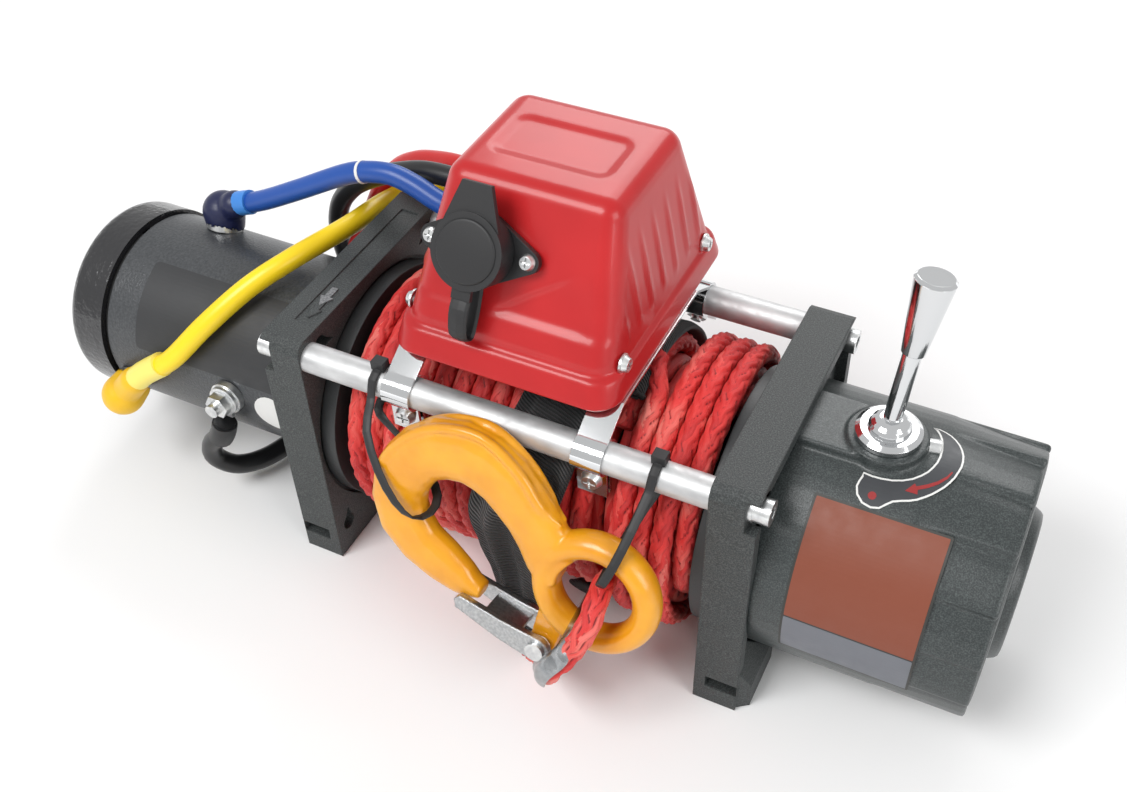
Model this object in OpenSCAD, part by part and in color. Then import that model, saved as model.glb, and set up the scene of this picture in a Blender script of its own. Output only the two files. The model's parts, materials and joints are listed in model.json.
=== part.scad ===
// Electric recovery winch. X runs along the drum, the motor at -X and the gearbox at +X.
// The origin is the middle of the four foot bolts, on the mounting face.

/* [Frame] */
// Clear width between the two drum supports
gap_w = 224; // [216:1:236]
// Thickness of a support plate
plate_t = 18; // [17:1:20]
// Height of the drum axis over the mounting face
axis_h = 80; // [80:1:84]
// Height of a support
plate_h = 160; // [158:1:168]
// Width of a support at its foot
base_w = 156; // [152:1:164]
// Width of a support at its shoulders
shoulder_w = 143; // [140:1:150]
// Reach of a foot past the support plate
foot_reach = 12; // [11:1:16]
// Spacing of the foot bolts along the drum
bolt_span_x = 254; // [250:1:260]
// Spacing of the foot bolts across the drum
bolt_span_y = 114.3; // [108:0.1:118]
// Diameter of the foot bolt holes
foot_hole_d = 10.5; // [9:0.5:11]
// Diameter of a tie bar
tie_bar_d = 16; // [15:0.5:17]
// Spacing of the two tie bars
tie_bar_span = 126; // [126:1:130]
// Height of the tie bars
tie_bar_h = 148; // [148:1:150]

/* [Motor] */
// Radius of the motor casing
motor_r = 56; // [56:0.5:58]
// Length of the motor casing
motor_len = 140; // [140:1:150]
// Wall of the motor casing
motor_wall = 4; // [3:0.5:4]
// Radius of the motor end cap
cap_r = 58; // [58:0.5:60]
// Length of the motor end cap
cap_len = 26; // [26:1:30]
// Diameter of the motor cables
cable_d = 12; // [10:0.5:12]

/* [Drum and rope] */
// Diameter of the bare drum
drum_d = 63.5; // [60:0.5:66]
// Radius of the drum flanges
flange_r = 70; // [66:0.5:71]
// Thickness of a drum flange
flange_t = 9; // [7:0.5:9]
// Diameter of the rope as it lies on the drum
rope_d = 10.6; // [8:0.1:10.6]
// Distance between turns
rope_pitch = 11.1; // [11.1:0.1:11.3]
// Radius of the middle of the rope in the full layer
layer_r = 67.4; // [64:0.1:67.4]
// Turns of rope in the full layer
layer_turns = 13.5; // [10:0.5:13.5]
// Turns of rope in the layer begun on top of it
top_turns = 3; // [2:0.5:3]
// How much further out the top layer lies
top_rise = 6.2; // [5:0.1:6.4]

/* [Gearbox] */
// Outer radius of the gear housing
housing_r = 71; // [71:0.5:72]
// Length of the gear housing
housing_len = 114.5; // [114:0.5:120]
// Module of the gears
gear_m = 2;
// Backlash taken off each tooth flank
backlash = 0.17; // [0.14:0.01:0.22]
// Throw of the clutch pin
clutch_throw = 5; // [4:0.1:5]
// Length of the clutch lever over its boss
lever_len = 81; // [70:1:90]

/* [Control box] */
// Width of the box at its lip
box_w = 123; // [118:1:126]
// Depth of the box at its lip
box_d = 145; // [140:1:150]
// Height of the box
box_h = 83; // [80:1:90]
// Height of the lip of the box
box_z = 168; // [168:1:172]
// Wall of the box cover
box_wall = 2; // [1.5:0.1:2.5]
// Radius of the upright corners of the box
box_corner = 14; // [12:0.5:16]
// Width of a strap
strap_w = 16; // [12:0.5:18]
// Thickness of a strap
strap_t = 1.6; // [1.2:0.1:1.8]
// Diameter of the socket cap
socket_d = 37; // [34:0.5:38]

/* [Hook] */
// Lean of the hook from upright, in degrees
hook_lean = 16; // [15:0.5:17]
// Thickness of the hook
hook_t = 17; // [15:0.5:17]
// Radius of the middle of the hook eye
eye_r = 27; // [26.5:0.1:27.5]
// Width of the band round the hook eye
eye_band = 14.5; // [14:0.5:15.5]
// Length of the latch
latch_len = 47; // [46:0.5:48]

/* [Hidden] */

$fn = 72;

// Clearances and the overrun of a cut
over = 1;
seat_gap = 0.05;
run_gap = 0.06;
slide_gap = 0.3;
free_gap = 0.5;

// Support plates
half_gap = gap_w / 2;
plate_out = half_gap + plate_t;
recess_r = 72;
recess_d = 3;
plate_corner = 6;
arch_w = 76;
arch_h = 5;
rim_t = 6;
rim_w = 7;
foot_tip_h = 18;
foot_root_h = 44;
foot_inner_y = 38;
foot_chamfer_x = 9;
foot_chamfer_y = 6.5;
pocket_r = 5;
pocket_depth = 9;
arrow_panel_w = 11;
arrow_panel_l = 104;
arrow_panel_d = 0.8;
scallop_r = housing_r + 1.5;
notch_r = 9.5;
bush_r = 25;
journal_r = 22;

// Fasteners
m8_r = 4;
m8_head_r = 6.5;
m8_head_h = 8;
m8_socket_r = 3.5;
washer_t = 2.2;
washer_r = 7;
m6_r = 3;
m6_head_r = 5;
m6_head_h = 6;
nut_af = 17;
nut_h = 8;
nut_bore_r = 4.3;
nut_slot_z = 12;
socket_depth = 4;

// Motor interior
drive_plate_t = 4;
seal_t = 3;
seal_r = 54;
motor_start = plate_out + drive_plate_t;
motor_end = motor_start + motor_len;
cap_start = motor_end + seal_t;
cap_end = cap_start + cap_len;
motor_bore_r = motor_r - motor_wall;
shaft_r = 7.5;
bearing_r = 17.5;
bearing_w = 11;
hub_r = 22;
core_r = 37.3;
core_start = motor_start + 26;
core_len = 76;
pole_gap = 0.8;
shoe_t = 4;
pole_angle = 62;
neck_angle = 34;
coil_angle = 12;
commutator_r = 20;
commutator_len = 22;
commutator_start = core_start + core_len + 14;
brush_w = 10;
brush_len = 15;
holder_t = 2.5;
stay_ring_r = 47;
stay_r = 3;

// Coupling between the motor shaft and the drive shaft
coupling_r = 11;
coupling_af = 12;
coupling_len = 22;
coupling_in = 100;
thin_shaft_r = 6.5;
brake_r = 22;
brake_len = 60;

// Gear stages: sun, planet and ring teeth, then where each stage lies
sun_teeth = 12;
planet_teeth = 24;
ring_teeth = 60;
addendum_share = 0.8;
dedendum_share = 1.25;
pressure_angle = 20;
orbit_r = gear_m * (sun_teeth + planet_teeth) / 2;
ring_out_r = 66;
pin_r = 5;
carrier_r = 46;
carrier_t = 5;
stage3_x = 139;
stage3_len = 21;
stage2_x = 197;
stage2_len = 15;
stage1_x = 219;
stage1_len = 15;
dog_in_r = 17;
dog_out_r = 26;
dog_half_angle = 14;
dog_h = 5;
clutch_x = 174;
clutch_pin_r = 2.5;
crank_r = 8;
crank_t = 4;
groove_r = 20;
groove_play = 0.35;
coupler_x = 165;
coupler_len = 13;
coupler_af = 24;
clutch_travel = 2 * clutch_throw * sin(45);
pin_x = clutch_x - clutch_throw * sin(45);
dogs_x = 185;

// Gear housing
housing_x = plate_out + 1.5;
housing_end = housing_x + housing_len;
housing_wall = 4.9;
housing_flange_r = 57;
housing_taper = 2;
saw_depth = 3.2;
saw_count = 15;
saw_start = 202;
saw_inset = 0.35;
boss_r = 19.5;
boss_h = 155;
pad_w = 36;
pad_h = 153;
lever_shaft_r = 5.5;
cover_r = 60;
cover_lip = 6;
stop_screw_r = 3.2;

// Clutch lever
lever_flange_r = 16;
lever_flange_h = 4.5;
lever_dome_r = 10.5;
lever_dome_h = 7;
lever_lean = 10.4;
lever_azimuth = 72;
lever_rod_r = 4.5;
grip_len = 38;
grip_small_r = 5.6;
grip_large_r = 9.8;

// Control box
box_x = -4.5;
box_y = 15.5;
box_top_w = 92;
box_top_front = -13;
box_top_back = 65;
box_top_round = 11;
lip_h = 12;
lip_step = 2.4;
base_t = 2;
tab_w = 8;
tab_h = 15.5;
front_foot = box_y - box_d / 2;
back_foot = box_y + box_d / 2;
face_lean = atan((box_top_front - front_foot) / box_h);
strap_x = [-55, 50];
strap_tab_z = 122;
strap_screw_z = 132;
strap_slope = 18;
strap_tab_gap = 2;
rear_tab_turn = 32;
clamp_r = tie_bar_d / 2 + seat_gap;

// Remote socket, in the plane of the front face of the box
socket_x = -22.5;
socket_z = 222;
socket_flange_t = 3.5;
socket_flange_r = 18;
socket_screw_x = 25.6;
socket_bore_r = 11;
socket_body_r = 14;
socket_depth_in = 24;
socket_collar = 5;
cap_skirt_r = 16.5;
cap_out = 16;
cap_hinge_y = -22;
cap_hinge_n = 7;
cap_tab_len = 32;
cap_tab_w = 15;
cap_notch_w = 24; // gap in the skirt, where the cap turns over its collar
cap_strap_w = 10;
cap_strap_t = 2.4;
cap_strap_drop = 24;

// Contactor
contactor_size = [76, 54, 40];
contactor_y = 16;

// Cable routes. Each list starts at the terminal and ends inside the box.
hole_blue = [-66, 36, 184];
hole_black = [-66, 53, 191];
hole_red = [-66, 70, 184];
hole_yellow = [-66, 53, 177];
cable_end_x = -48;
yellow_route = [[-250, -66, 79], [-240, -64, 88], [-220, -60, 102], [-200, -46, 124], [-182, -24, 141],
    [-166, 0, 150], [-154, 34, 151], [-150, 66, 148], [-140, 86, 148], [-122, 92, 152], [-104, 84, 162],
    [-90, 68, 171], [-79, 56, 176], [-70, 53, 177], [-60, 53, 177], [-48, 53, 177]];
blue_route = [[-230, 28.4, 148.3], [-209, 30, 156], [-180, 32, 171], [-150, 35, 187],
    [-134, 36, 193], [-118, 37, 195], [-104, 37, 192], [-90, 36, 187], [-79, 36, 184], [-60, 36, 184],
    [-48, 36, 184]];
black_route = [[-187.7, -65.2, 69.8], [-191, -66, 60], [-203, -66, 46], [-207, -64, 31],
    [-200, -56, 19], [-191, -40, 14], [-184, -15, 13], [-182, 15, 13], [-184, 42, 20], [-189, 58, 36],
    [-192, 69, 58], [-191, 72, 82], [-190, 69, 104], [-186, 65, 124], [-178, 62, 143], [-165, 60, 159],
    [-149, 58, 171], [-130, 56, 181], [-108, 54, 189], [-84, 53, 191], [-60, 53, 191], [-48, 53, 191]];
red_route = [[-174, 62, 106], [-171.5, 68, 115], [-168, 75, 127], [-161, 81, 145], [-149, 84, 161],
    [-133, 82, 172], [-115, 78, 179], [-98, 73, 184], [-84, 70, 184], [-60, 70, 184], [-48, 70, 184]];
cable_sides = 10;
cable_steps = 3;

// Terminals: place along the motor and angle round it, from the rear up
terminal_x = [-187, -263, -239, -176];
terminal_angle = [176, 194, 64, 12];
lug_turn = [-90, 0, 0, -80];
insulator_r = 10;
insulator_t = 4;
stud_r = 4;
stud_len = 13;
stud_nut_af = 13;
stud_nut_h = 6;
lug_t = 2.5;
lug_r = 9;

// Hook, in its own plane: x and u of the middle line, then its width and thickness
hook_y = -100.2;
hook_z = 83;
eye_x = 67;
eye_u = 8;
hook_sides = 16;
hook_line = [[6, -17, 7, 12], [0, -16.5, 14, 13], [-6, -14, 20, 14], [-18, -8, 26, 16], [-31, -1, 28, 17],
    [-41, 9.5, 31, 17], [-45, 22, 31, 17], [-44, 33, 30.5, 17], [-39, 44, 30.5, 17], [-32, 53, 31, 17],
    [-21, 59.5, 33, 17], [-8, 62, 34, 17], [4, 59.5, 34, 17], [14, 54, 33, 17], [22, 46.5, 31.5, 17],
    [30, 38, 30, 17], [37, 28, 30, 16], [43, 17, 30, 16], [48, 8, 24, 15]];
lug_x = 42.3;
lug_u = -32.7;
lug_round_r = 7;
lug_root_r = 8;
lug_root_u = -12;
lug_root_x = 47;
lug_half_t = 4;
latch_pin_r = 3.2;
latch_in = 7.5;
latch_out = 11;
latch_angle = 165;
latch_root_r = 7.2;
latch_tip_r = 4.5;
web_start = 12;
web_end = 33;
web_half_t = 2.4;
spring_wire_r = 0.5;
spring_r = 5.2;
spring_turns = 2.5;
spring_pitch = 1.2;
pin_head_r = 5;
pin_head_t = 2;

// Rope sleeve that hangs in front, its points, widths and thicknesses
sleeve_route = [[22, 22, 155.6], [22, 2, 158.8], [21, -20, 156.3], [20, -40, 147.8], [18, -58, 133],
    [13, -71, 114], [5, -79, 93], [7, -83, 76], [12, -86, 60], [16, -89, 42], [19, -92, 26],
        [22, -95, 14]];
sleeve_widths = [26, 30, 34, 40, 44, 46, 44, 36, 32, 30, 27, 22];
sleeve_t = 7.4;
sleeve_sides = 12;
wound_start = 108;
wound_sweep = 250;
wound_w = 19;
wound_x = [48.5, 40];
wound_in_r = 74.5;
wound_out_r = 78.8;
wound_steps = 26;

// Rope end: the eye splice through the hook
splice_d = 12.6;
tail_route = [[23, -95.5, 10], [31, -100, 16], [41, -109.5, 27], [50, -120.5, 41],
    [54.5, -128.5, 54.5], [57.5, -129, 62], [62, -125.5, 67.5], [65.5, -123, 74], [69, -121, 82],
    [71.5, -115, 90], [71, -105, 95.5], [69.5, -94, 95], [68, -87, 88], [65, -87, 76], [61, -88.5, 64],
    [56, -90.5, 53], [50.5, -94, 42], [44, -97, 31]];
tail_shares = [0.8, 0.85, 0.9, 0.95, 0.92, 0.9, 0.95, 1, 1, 1, 0.95, 0.9, 0.8, 0.75, 0.75, 0.7, 0.6,
    0.45];

// Thimble: a bent strip that the rope runs through; its legs, and the way the rope passes it
thimble_at = [63, -124.5, 61];
thimble_up = [31, 0, 95];
thimble_through = [-58, -80, 19];
thimble_w = 10;
thimble_t = 1.6;
thimble_in = 17;
thimble_leg = 12;

// Cable ties round the bar and the hook
tie_w = 4.8;
tie_t = 1.4;
tie_sides = 8;
left_tie = [[-68.5, -63, 157.3], [-68.5, -69.6, 154.6], [-68.2, -73, 147.5], [-67.2, -76.3, 144.5],
    [-63, -88, 137.5],
    [-52, -98.5, 124.5], [-40, -105, 113.5], [-30.5, -105.5, 106.5], [-24.5, -98.5, 105.5],
    [-26, -88.5, 107], [-35, -80.8, 111], [-46, -77.2, 121.3], [-56, -76, 130], [-65, -73.5, 136.2],
    [-67.8, -69, 137.2],
    [-68.5, -64, 138.7], [-68.5, -56.4, 141.4], [-68.5, -53.7, 148], [-68.5, -56.4, 154.6],
    [-68.5, -61, 157.1]];
right_tie = [[84, -63, 157.3], [84, -69.6, 154.6], [83.7, -73, 147.5], [83.3, -76.3, 144.5],
    [81.5, -89, 134],
    [78, -101, 120.5], [74, -105.8, 110], [71.5, -102, 104.3], [71, -93.5, 104.3], [71.5, -84.5, 107],
    [74.5, -78.6, 115.5], [80, -71, 130.5], [83, -66.5, 136.6], [84, -62.5, 138.7],
    [84, -56.4, 141.4], [84, -53.7, 148],
    [84, -56.4, 154.6], [84, -61, 157.1]];
tie_head = [7, 6, 5];

// Shared functions and placing modules

function unit(v) = v / norm(v);
function mix(a, b, s) = a + (b - a) * s;

// Points of an arc round the origin
function arc(r, a0, a1, n) = [for (i = [0 : n]) r * [cos(mix(a0, a1, i / n)), sin(mix(a0, a1, i / n))]];

// A smooth run through chosen points, with n steps between each two
function curve_at(a, b, c, d, s) = 0.5 * (2 * b + (c - a) * s + (2 * a - 5 * b + 4 * c - d) * s * s
    + (3 * b - a - 3 * c + d) * s * s * s);
function curve(p, n) = [for (i = [0 : len(p) - 2], k = [0 : n - 1])
    curve_at(p[max(i - 1, 0)], p[i], p[i + 1], p[min(i + 2, len(p) - 1)], k / n), p[len(p) - 1]];

// Directions along a run of points, and a side direction carried along it without twist
function tangents(p) = [for (i = [0 : len(p) - 1]) unit(p[min(i + 1, len(p) - 1)] - p[max(i - 1, 0)])];
function square_to(v, t) = unit(v - (v * t) * t);
function side_dirs(t, v) = [for (i = 0, s = square_to(v, t[0]); i < len(t);
    i = i + 1, s = i < len(t) ? square_to(s, t[i]) : s) s];

// One closed ring of n points, w wide along the side direction and h the other way
function ring(c, t, s, w, h, n) = [for (k = [0 : n - 1])
    c + w / 2 * cos(360 * k / n) * s + h / 2 * sin(360 * k / n) * cross(t, s)];

// A closed skin over rings of equal count, of triangles
module skin(rings) {
    n = len(rings[0]);
    last = (len(rings) - 1) * n;
    polyhedron(
        points = [for (r = rings, p = r) p],
        faces = concat(
            [for (i = [0 : len(rings) - 2], k = [0 : n - 1]) [i * n + k, (i + 1) * n + k,
                i * n + (k + 1) % n]],
            [for (i = [0 : len(rings) - 2], k = [0 : n - 1])
                [i * n + (k + 1) % n, (i + 1) * n + k, (i + 1) * n + (k + 1) % n]],
            [for (k = [1 : n - 2]) [0, k, k + 1]],
            [for (k = [1 : n - 2]) [last, last + k + 1, last + k]]),
        convexity = 6);
}

// A tube along points, with a width and a height for each point
module tube(p, w, h, n, side) {
    t = tangents(p);
    s = side_dirs(t, side);
    skin([for (i = [0 : len(p) - 1]) ring(p[i], t[i], s[i], w[i], h[i], n)]);
}

module cable(route) {
    p = curve(route, cable_steps);
    w = [for (i = p) cable_d];
    tube(p, w, w, cable_sides, [0, 0, 1]);
}

// Sets a solid drawn along local z on the drum axis, starting at x
module on_axis(x) translate([x, 0, axis_h]) rotate([0, 90, 0]) children();

// Extrudes an outline drawn in y and z along x
module across(x, t) translate([x, 0, 0]) rotate([90, 0, 90]) linear_extrude(t) children();

// The same, with the outline drawn round the drum axis
module round_axis(x, t) translate([x, 0, axis_h]) rotate([90, 0, 90]) linear_extrude(t) children();

// A piece of a ring along the drum axis, between two angles from the rear up
module sector(x, len, r0, r1, a0, a1)
    translate([x, 0, axis_h]) rotate([90, 0, 90]) rotate([0, 0, a0])
        rotate_extrude(angle = a1 - a0) translate([r0, 0]) square([r1 - r0, len]);

module tube_ring(x, len, r0, r1) on_axis(x) difference() {
    cylinder(r = r1, h = len);
    translate([0, 0, -over]) cylinder(r = r0, h = len + 2 * over);
}

// A hexagonal prism by its width across flats
module hex(af, h) cylinder(d = af / cos(30), h = h, $fn = 6);

// Frame

plate_outline = [[-base_w / 2, 0], [-arch_w / 2, 0], [-arch_w / 2, arch_h], [arch_w / 2, arch_h],
    [arch_w / 2, 0], [base_w / 2, 0], [shoulder_w / 2, plate_h - plate_corner],
    [shoulder_w / 2 - plate_corner * 0.3, plate_h - plate_corner * 0.3],
    [shoulder_w / 2 - plate_corner, plate_h], [plate_corner - shoulder_w / 2, plate_h],
    [plate_corner * 0.3 - shoulder_w / 2, plate_h - plate_corner * 0.3],
    [-shoulder_w / 2, plate_h - plate_corner]];

rim_inside = [[rim_w - base_w / 2, -over], [base_w / 2 - rim_w, -over],
    [shoulder_w / 2 - rim_w, plate_h - rim_w], [rim_w - shoulder_w / 2, plate_h - rim_w]];

module foot(side) {
    inner = foot_inner_y;
    outer = base_w / 2;
    translate([0, side > 0 ? outer : -inner, 0]) rotate([90, 0, 0]) linear_extrude(outer - inner)
        polygon([[half_gap, 0], [plate_out + foot_reach, 0], [plate_out + foot_reach, foot_tip_h],
            [plate_out, foot_root_h], [half_gap, foot_root_h]]);
}

module foot_plan() {
    tip = plate_out + foot_reach;
    translate([0, 0, -over]) linear_extrude(plate_h + 2 * over)
        polygon([[half_gap, -base_w / 2], [tip - foot_chamfer_x, -base_w / 2],
            [tip, foot_chamfer_y - base_w / 2], [tip, base_w / 2 - foot_chamfer_y],
            [tip - foot_chamfer_x, base_w / 2], [half_gap, base_w / 2]]);
}

// Foot bolt hole with the slot that holds its nut
module foot_bolt_cut(side) {
    at_y = side * bolt_span_y / 2;
    slot_in = bolt_span_y / 2 - nut_af / 2 / cos(30) - slide_gap;
    slot_w = nut_af + 2 * slide_gap;
    translate([bolt_span_x / 2, at_y, -over])
        cylinder(d = foot_hole_d, h = nut_slot_z + nut_h + 2 * over);
    translate([bolt_span_x / 2 - slot_w / 2, side > 0 ? slot_in : -base_w, nut_slot_z])
        cube([slot_w, base_w - slot_in, nut_h + slide_gap]);
}

// A pocket in the web, outside the recess: round at one end and pointed at the other
module web_pocket(at, turn)
    across(half_gap - over, pocket_depth + over) translate(at) rotate([0, 0, turn])
        polygon(concat(arc(pocket_r, 30, 330, 14), [[pocket_r * 2.2, 0]]));

module arrow_panel() {
    x0 = half_gap + (plate_t - arrow_panel_w) / 2;
    translate([x0, -arrow_panel_l / 2, plate_h - arrow_panel_d])
        cube([arrow_panel_w, arrow_panel_l, over * 2]);
}

// Raised arrow that points to the front
module arrow() {
    half = arrow_panel_w / 3;
    translate([half_gap + plate_t / 2, half * 2 - arrow_panel_l / 2, plate_h - arrow_panel_d - seat_gap])
        linear_extrude(arrow_panel_d + seat_gap)
            polygon([[0, -half], [half, half], [half / 2, half], [half / 2, half * 4],
                [-half / 2, half * 4], [-half / 2, half], [-half, half]]);
}

module support(screw_ring_r, screw_count, screw_turn) {
    difference() {
        union() {
            across(half_gap, plate_t) polygon(plate_outline);
            intersection() {
                union() {
                    foot(-1);
                    foot(1);
                }
                across(half_gap - over, plate_t + foot_reach + 2 * over) polygon(plate_outline);
                foot_plan();
            }
            across(plate_out - seat_gap, rim_t + seat_gap) difference() {
                polygon(plate_outline);
                polygon(rim_inside);
            }
        }
        on_axis(plate_out) cylinder(r = scallop_r, h = foot_reach + rim_t + over);
        on_axis(half_gap - over) cylinder(r = recess_r, h = recess_d + over);
        on_axis(half_gap - over) cylinder(r = bush_r, h = plate_t + 2 * over);
        for (side = [-1, 1]) {
            foot_bolt_cut(side);
            translate([half_gap - over, side * tie_bar_span / 2, tie_bar_h]) rotate([0, 90, 0])
                cylinder(r = m8_r + seat_gap * 4, h = plate_t + 2 * over);
            translate([plate_out, side * tie_bar_span / 2, tie_bar_h]) rotate([0, 90, 0])
                cylinder(r = notch_r, h = rim_t + over);
            translate([plate_out, side > 0 ? tie_bar_span / 2 : -base_w, tie_bar_h - notch_r])
                cube([rim_t + over, base_w - tie_bar_span / 2, notch_r * 2]);
            web_pocket([side * base_w * 0.42, plate_h * 0.12], side > 0 ? 100 : 80);
            web_pocket([side * base_w * 0.34, plate_h * 0.93], side > 0 ? 200 : -20);
        }
        for (k = [0 : screw_count - 1])
            round_screw(screw_ring_r, screw_turn + k * 360 / screw_count) {
                translate([0, 0, -over]) cylinder(r = m6_r + seat_gap * 4, h = plate_t + 2 * over);
                translate([0, 0, -over]) cylinder(r = m6_head_r + slide_gap,
                    h = recess_d + m6_head_h + over);
            }
    }
}

// Sets what is drawn along z at a screw place, starting on the inner face of a support
module round_screw(r, angle)
    translate([half_gap, r * cos(angle), axis_h + r * sin(angle)]) rotate([0, 90, 0]) children();

housing_screw_r = 61.5;
housing_screws = 6;
motor_screw_r = 42;
motor_screws = 4;

module gear_side_support() color("dimgray") support(housing_screw_r, housing_screws, 30);

module motor_side_support() color("dimgray") mirror([1, 0, 0]) {
    difference() {
        support(motor_screw_r, motor_screws, 0);
        arrow_panel();
    }
    arrow();
}

module tie_bars() color("silver") for (side = [-1, 1])
    translate([-half_gap, side * tie_bar_span / 2, tie_bar_h]) rotate([0, 90, 0]) difference() {
        cylinder(d = tie_bar_d, h = gap_w);
        for (end = [0, 1]) translate([0, 0, end * (gap_w - tie_bolt_reach) - over])
            cylinder(r = m8_r + seat_gap * 2, h = tie_bolt_reach + 2 * over);
    }

tie_bolt_reach = 28;
tie_bolt_bite = 25;

// Socket cap screw, its shank along -z from the head's seat at zero
module cap_screw(r, len, head_r, head_h, key_r) difference() {
    union() {
        translate([0, 0, -len]) cylinder(r = r, h = len + seat_gap);
        cylinder(r = head_r, h = head_h);
    }
    translate([0, 0, head_h - socket_depth]) cylinder(r = key_r, h = socket_depth + over, $fn = 6);
}

module split_washer(t, r, bore) difference() {
    cylinder(r = r, h = t);
    translate([0, 0, -over]) cylinder(r = bore, h = t + 2 * over);
    translate([bore - over, -slide_gap, -over]) cube([r, slide_gap * 2, t + 2 * over]);
}

module frame_bolts() color("gainsboro") {
    for (end = [-1, 1], side = [-1, 1])
        translate([end * plate_out, side * tie_bar_span / 2, tie_bar_h]) rotate([0, end * 90, 0]) {
            split_washer(washer_t, washer_r, m8_r + seat_gap * 2);
            translate([0, 0, washer_t])
                cap_screw(m8_r, washer_t + plate_t + tie_bolt_bite, m8_head_r, m8_head_h, m8_socket_r);
        }
    for (k = [0 : housing_screws - 1])
        round_screw(housing_screw_r, 30 + k * 360 / housing_screws)
            translate([0, 0, recess_d + m6_head_h]) rotate([180, 0, 0])
                cap_screw(m6_r, plate_t - recess_d - m6_head_h + housing_screw_bite, m6_head_r,
                    m6_head_h - seat_gap, m6_r * 0.9);
    for (k = [0 : motor_screws - 1])
        mirror([1, 0, 0]) round_screw(motor_screw_r, k * 360 / motor_screws)
            translate([0, 0, recess_d + m6_head_h]) rotate([180, 0, 0])
                cap_screw(m6_r, plate_t - recess_d - m6_head_h + drive_plate_t - free_gap, m6_head_r,
                    m6_head_h - seat_gap, m6_r * 0.9);
    for (angle = stay_angles)
        translate([-cap_end, stay_ring_r * cos(angle), axis_h + stay_ring_r * sin(angle)])
            rotate([0, -90, 0])
                cap_screw(stay_r, cap_end - motor_start + drive_plate_t / 2, m6_head_r, m6_head_h * 0.7,
                    m6_r * 0.8);
    translate([clutch_x, 0, stop_screw_z]) rotate([0, 90, stop_screw_turn])
        translate([0, 0, boss_r]) cap_screw(stop_screw_r - seat_gap * 4,
            boss_r - lever_shaft_r - over * 3,
            stop_screw_r * 1.35, stop_screw_r * 1.7, stop_screw_r * 0.6);
}

housing_screw_bite = 8.5;
stay_angles = [45, 225];
stop_screw_z = 150;
stop_screw_turn = 12;

module foot_nuts() color("gainsboro")
    for (end = [-1, 1], side = [-1, 1])
        translate([end * bolt_span_x / 2, side * bolt_span_y / 2, nut_slot_z]) rotate([0, 0, 30])
            difference() {
                hex(nut_af, nut_h);
                translate([0, 0, -over]) cylinder(r = nut_bore_r, h = nut_h + 2 * over);
            }

// Motor

// Sets what is drawn along z at a terminal, starting at the motor axis
module terminal_dir(i) translate([terminal_x[i], 0, axis_h])
    rotate([terminal_angle[i] - 90, 0, 0]) children();

module motor_casing() color("dimgray") difference() {
    tube_ring(-motor_end, motor_len, motor_bore_r, motor_r);
    for (i = [0 : 3]) terminal_dir(i) translate([0, 0, motor_bore_r - over * 8])
        cylinder(r = stud_r + free_gap, h = motor_wall + over * 12);
}

module motor_drive_plate() color("gray") difference() {
    union() {
        on_axis(-motor_start) cylinder(r = motor_r, h = drive_plate_t);
        on_axis(-motor_start - bearing_w) cylinder(r = hub_r, h = bearing_w + seat_gap);
    }
    on_axis(-motor_start - bearing_w - over) cylinder(r = bearing_r + seat_gap, h = bearing_w + over);
    on_axis(-motor_start - over) cylinder(r = shaft_r + free_gap, h = drive_plate_t + 2 * over);
    for (k = [0 : motor_screws - 1])
        mirror([1, 0, 0]) round_screw(motor_screw_r, k * 360 / motor_screws)
            cylinder(r = m6_r + seat_gap * 2, h = plate_t + drive_plate_t - seat_gap * 4);
    stay_holes();
}

// The holes for the two long screws that hold the motor together
module stay_holes() for (angle = stay_angles)
    translate([-cap_end - over, stay_ring_r * cos(angle), axis_h + stay_ring_r * sin(angle)])
        rotate([0, 90, 0]) cylinder(r = stay_r + seat_gap * 4, h = cap_end - plate_out - free_gap);

module motor_cap_seal() color("black") difference() {
    tube_ring(-cap_start, seal_t, motor_bore_r - over, seal_r);
    translate([-cap_start - over, -seal_t, axis_h + motor_bore_r - over / 2])
        cube([seal_t + 2 * over, seal_t * 2, motor_wall * 2]);
}

module motor_end_cap() color("black") difference() {
    translate([-cap_start, 0, axis_h]) rotate([0, -90, 0]) rotate_extrude() polygon(concat(
        [[0, 0], [cap_r, 0], [cap_r, cap_len - cap_round]],
        [for (p = arc(cap_round, 0, 90, 6)) p + [cap_r - cap_round, cap_len - cap_round]],
        [[0, cap_len]]));
    difference() {
        on_axis(-cap_end + cap_wall) cylinder(r = cap_r - cap_wall, h = cap_len);
        on_axis(-cap_end) cylinder(r = hub_r, h = cap_wall + bearing_w);
    }
    on_axis(-cap_end + cap_wall) cylinder(r = bearing_r + seat_gap, h = bearing_w + over);
    stay_holes();
}

cap_round = 7;
cap_wall = 4;

module motor_pole(angle) {
    inner = core_r + pole_gap;
    sector(-core_start - core_len, core_len, inner, inner + shoe_t, angle - pole_angle / 2,
        angle + pole_angle / 2);
    sector(-core_start - core_len + shoe_t, core_len - 2 * shoe_t, inner + shoe_t - seat_gap,
        motor_bore_r - seat_gap, angle - neck_angle / 2, angle + neck_angle / 2);
}

module motor_coil(angle) {
    inner = core_r + pole_gap + shoe_t + slide_gap;
    for (s = [-1, 1]) {
        near = angle + s * (neck_angle / 2 + 1);
        far = angle + s * (neck_angle / 2 + 1 + coil_angle);
        sector(-core_start - core_len, core_len, inner, motor_bore_r - free_gap, min(near, far),
            max(near, far));
    }
}

module field_poles() color("peru") for (angle = [0 : 90 : 270]) {
    motor_pole(angle);
    motor_coil(angle);
}

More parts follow.
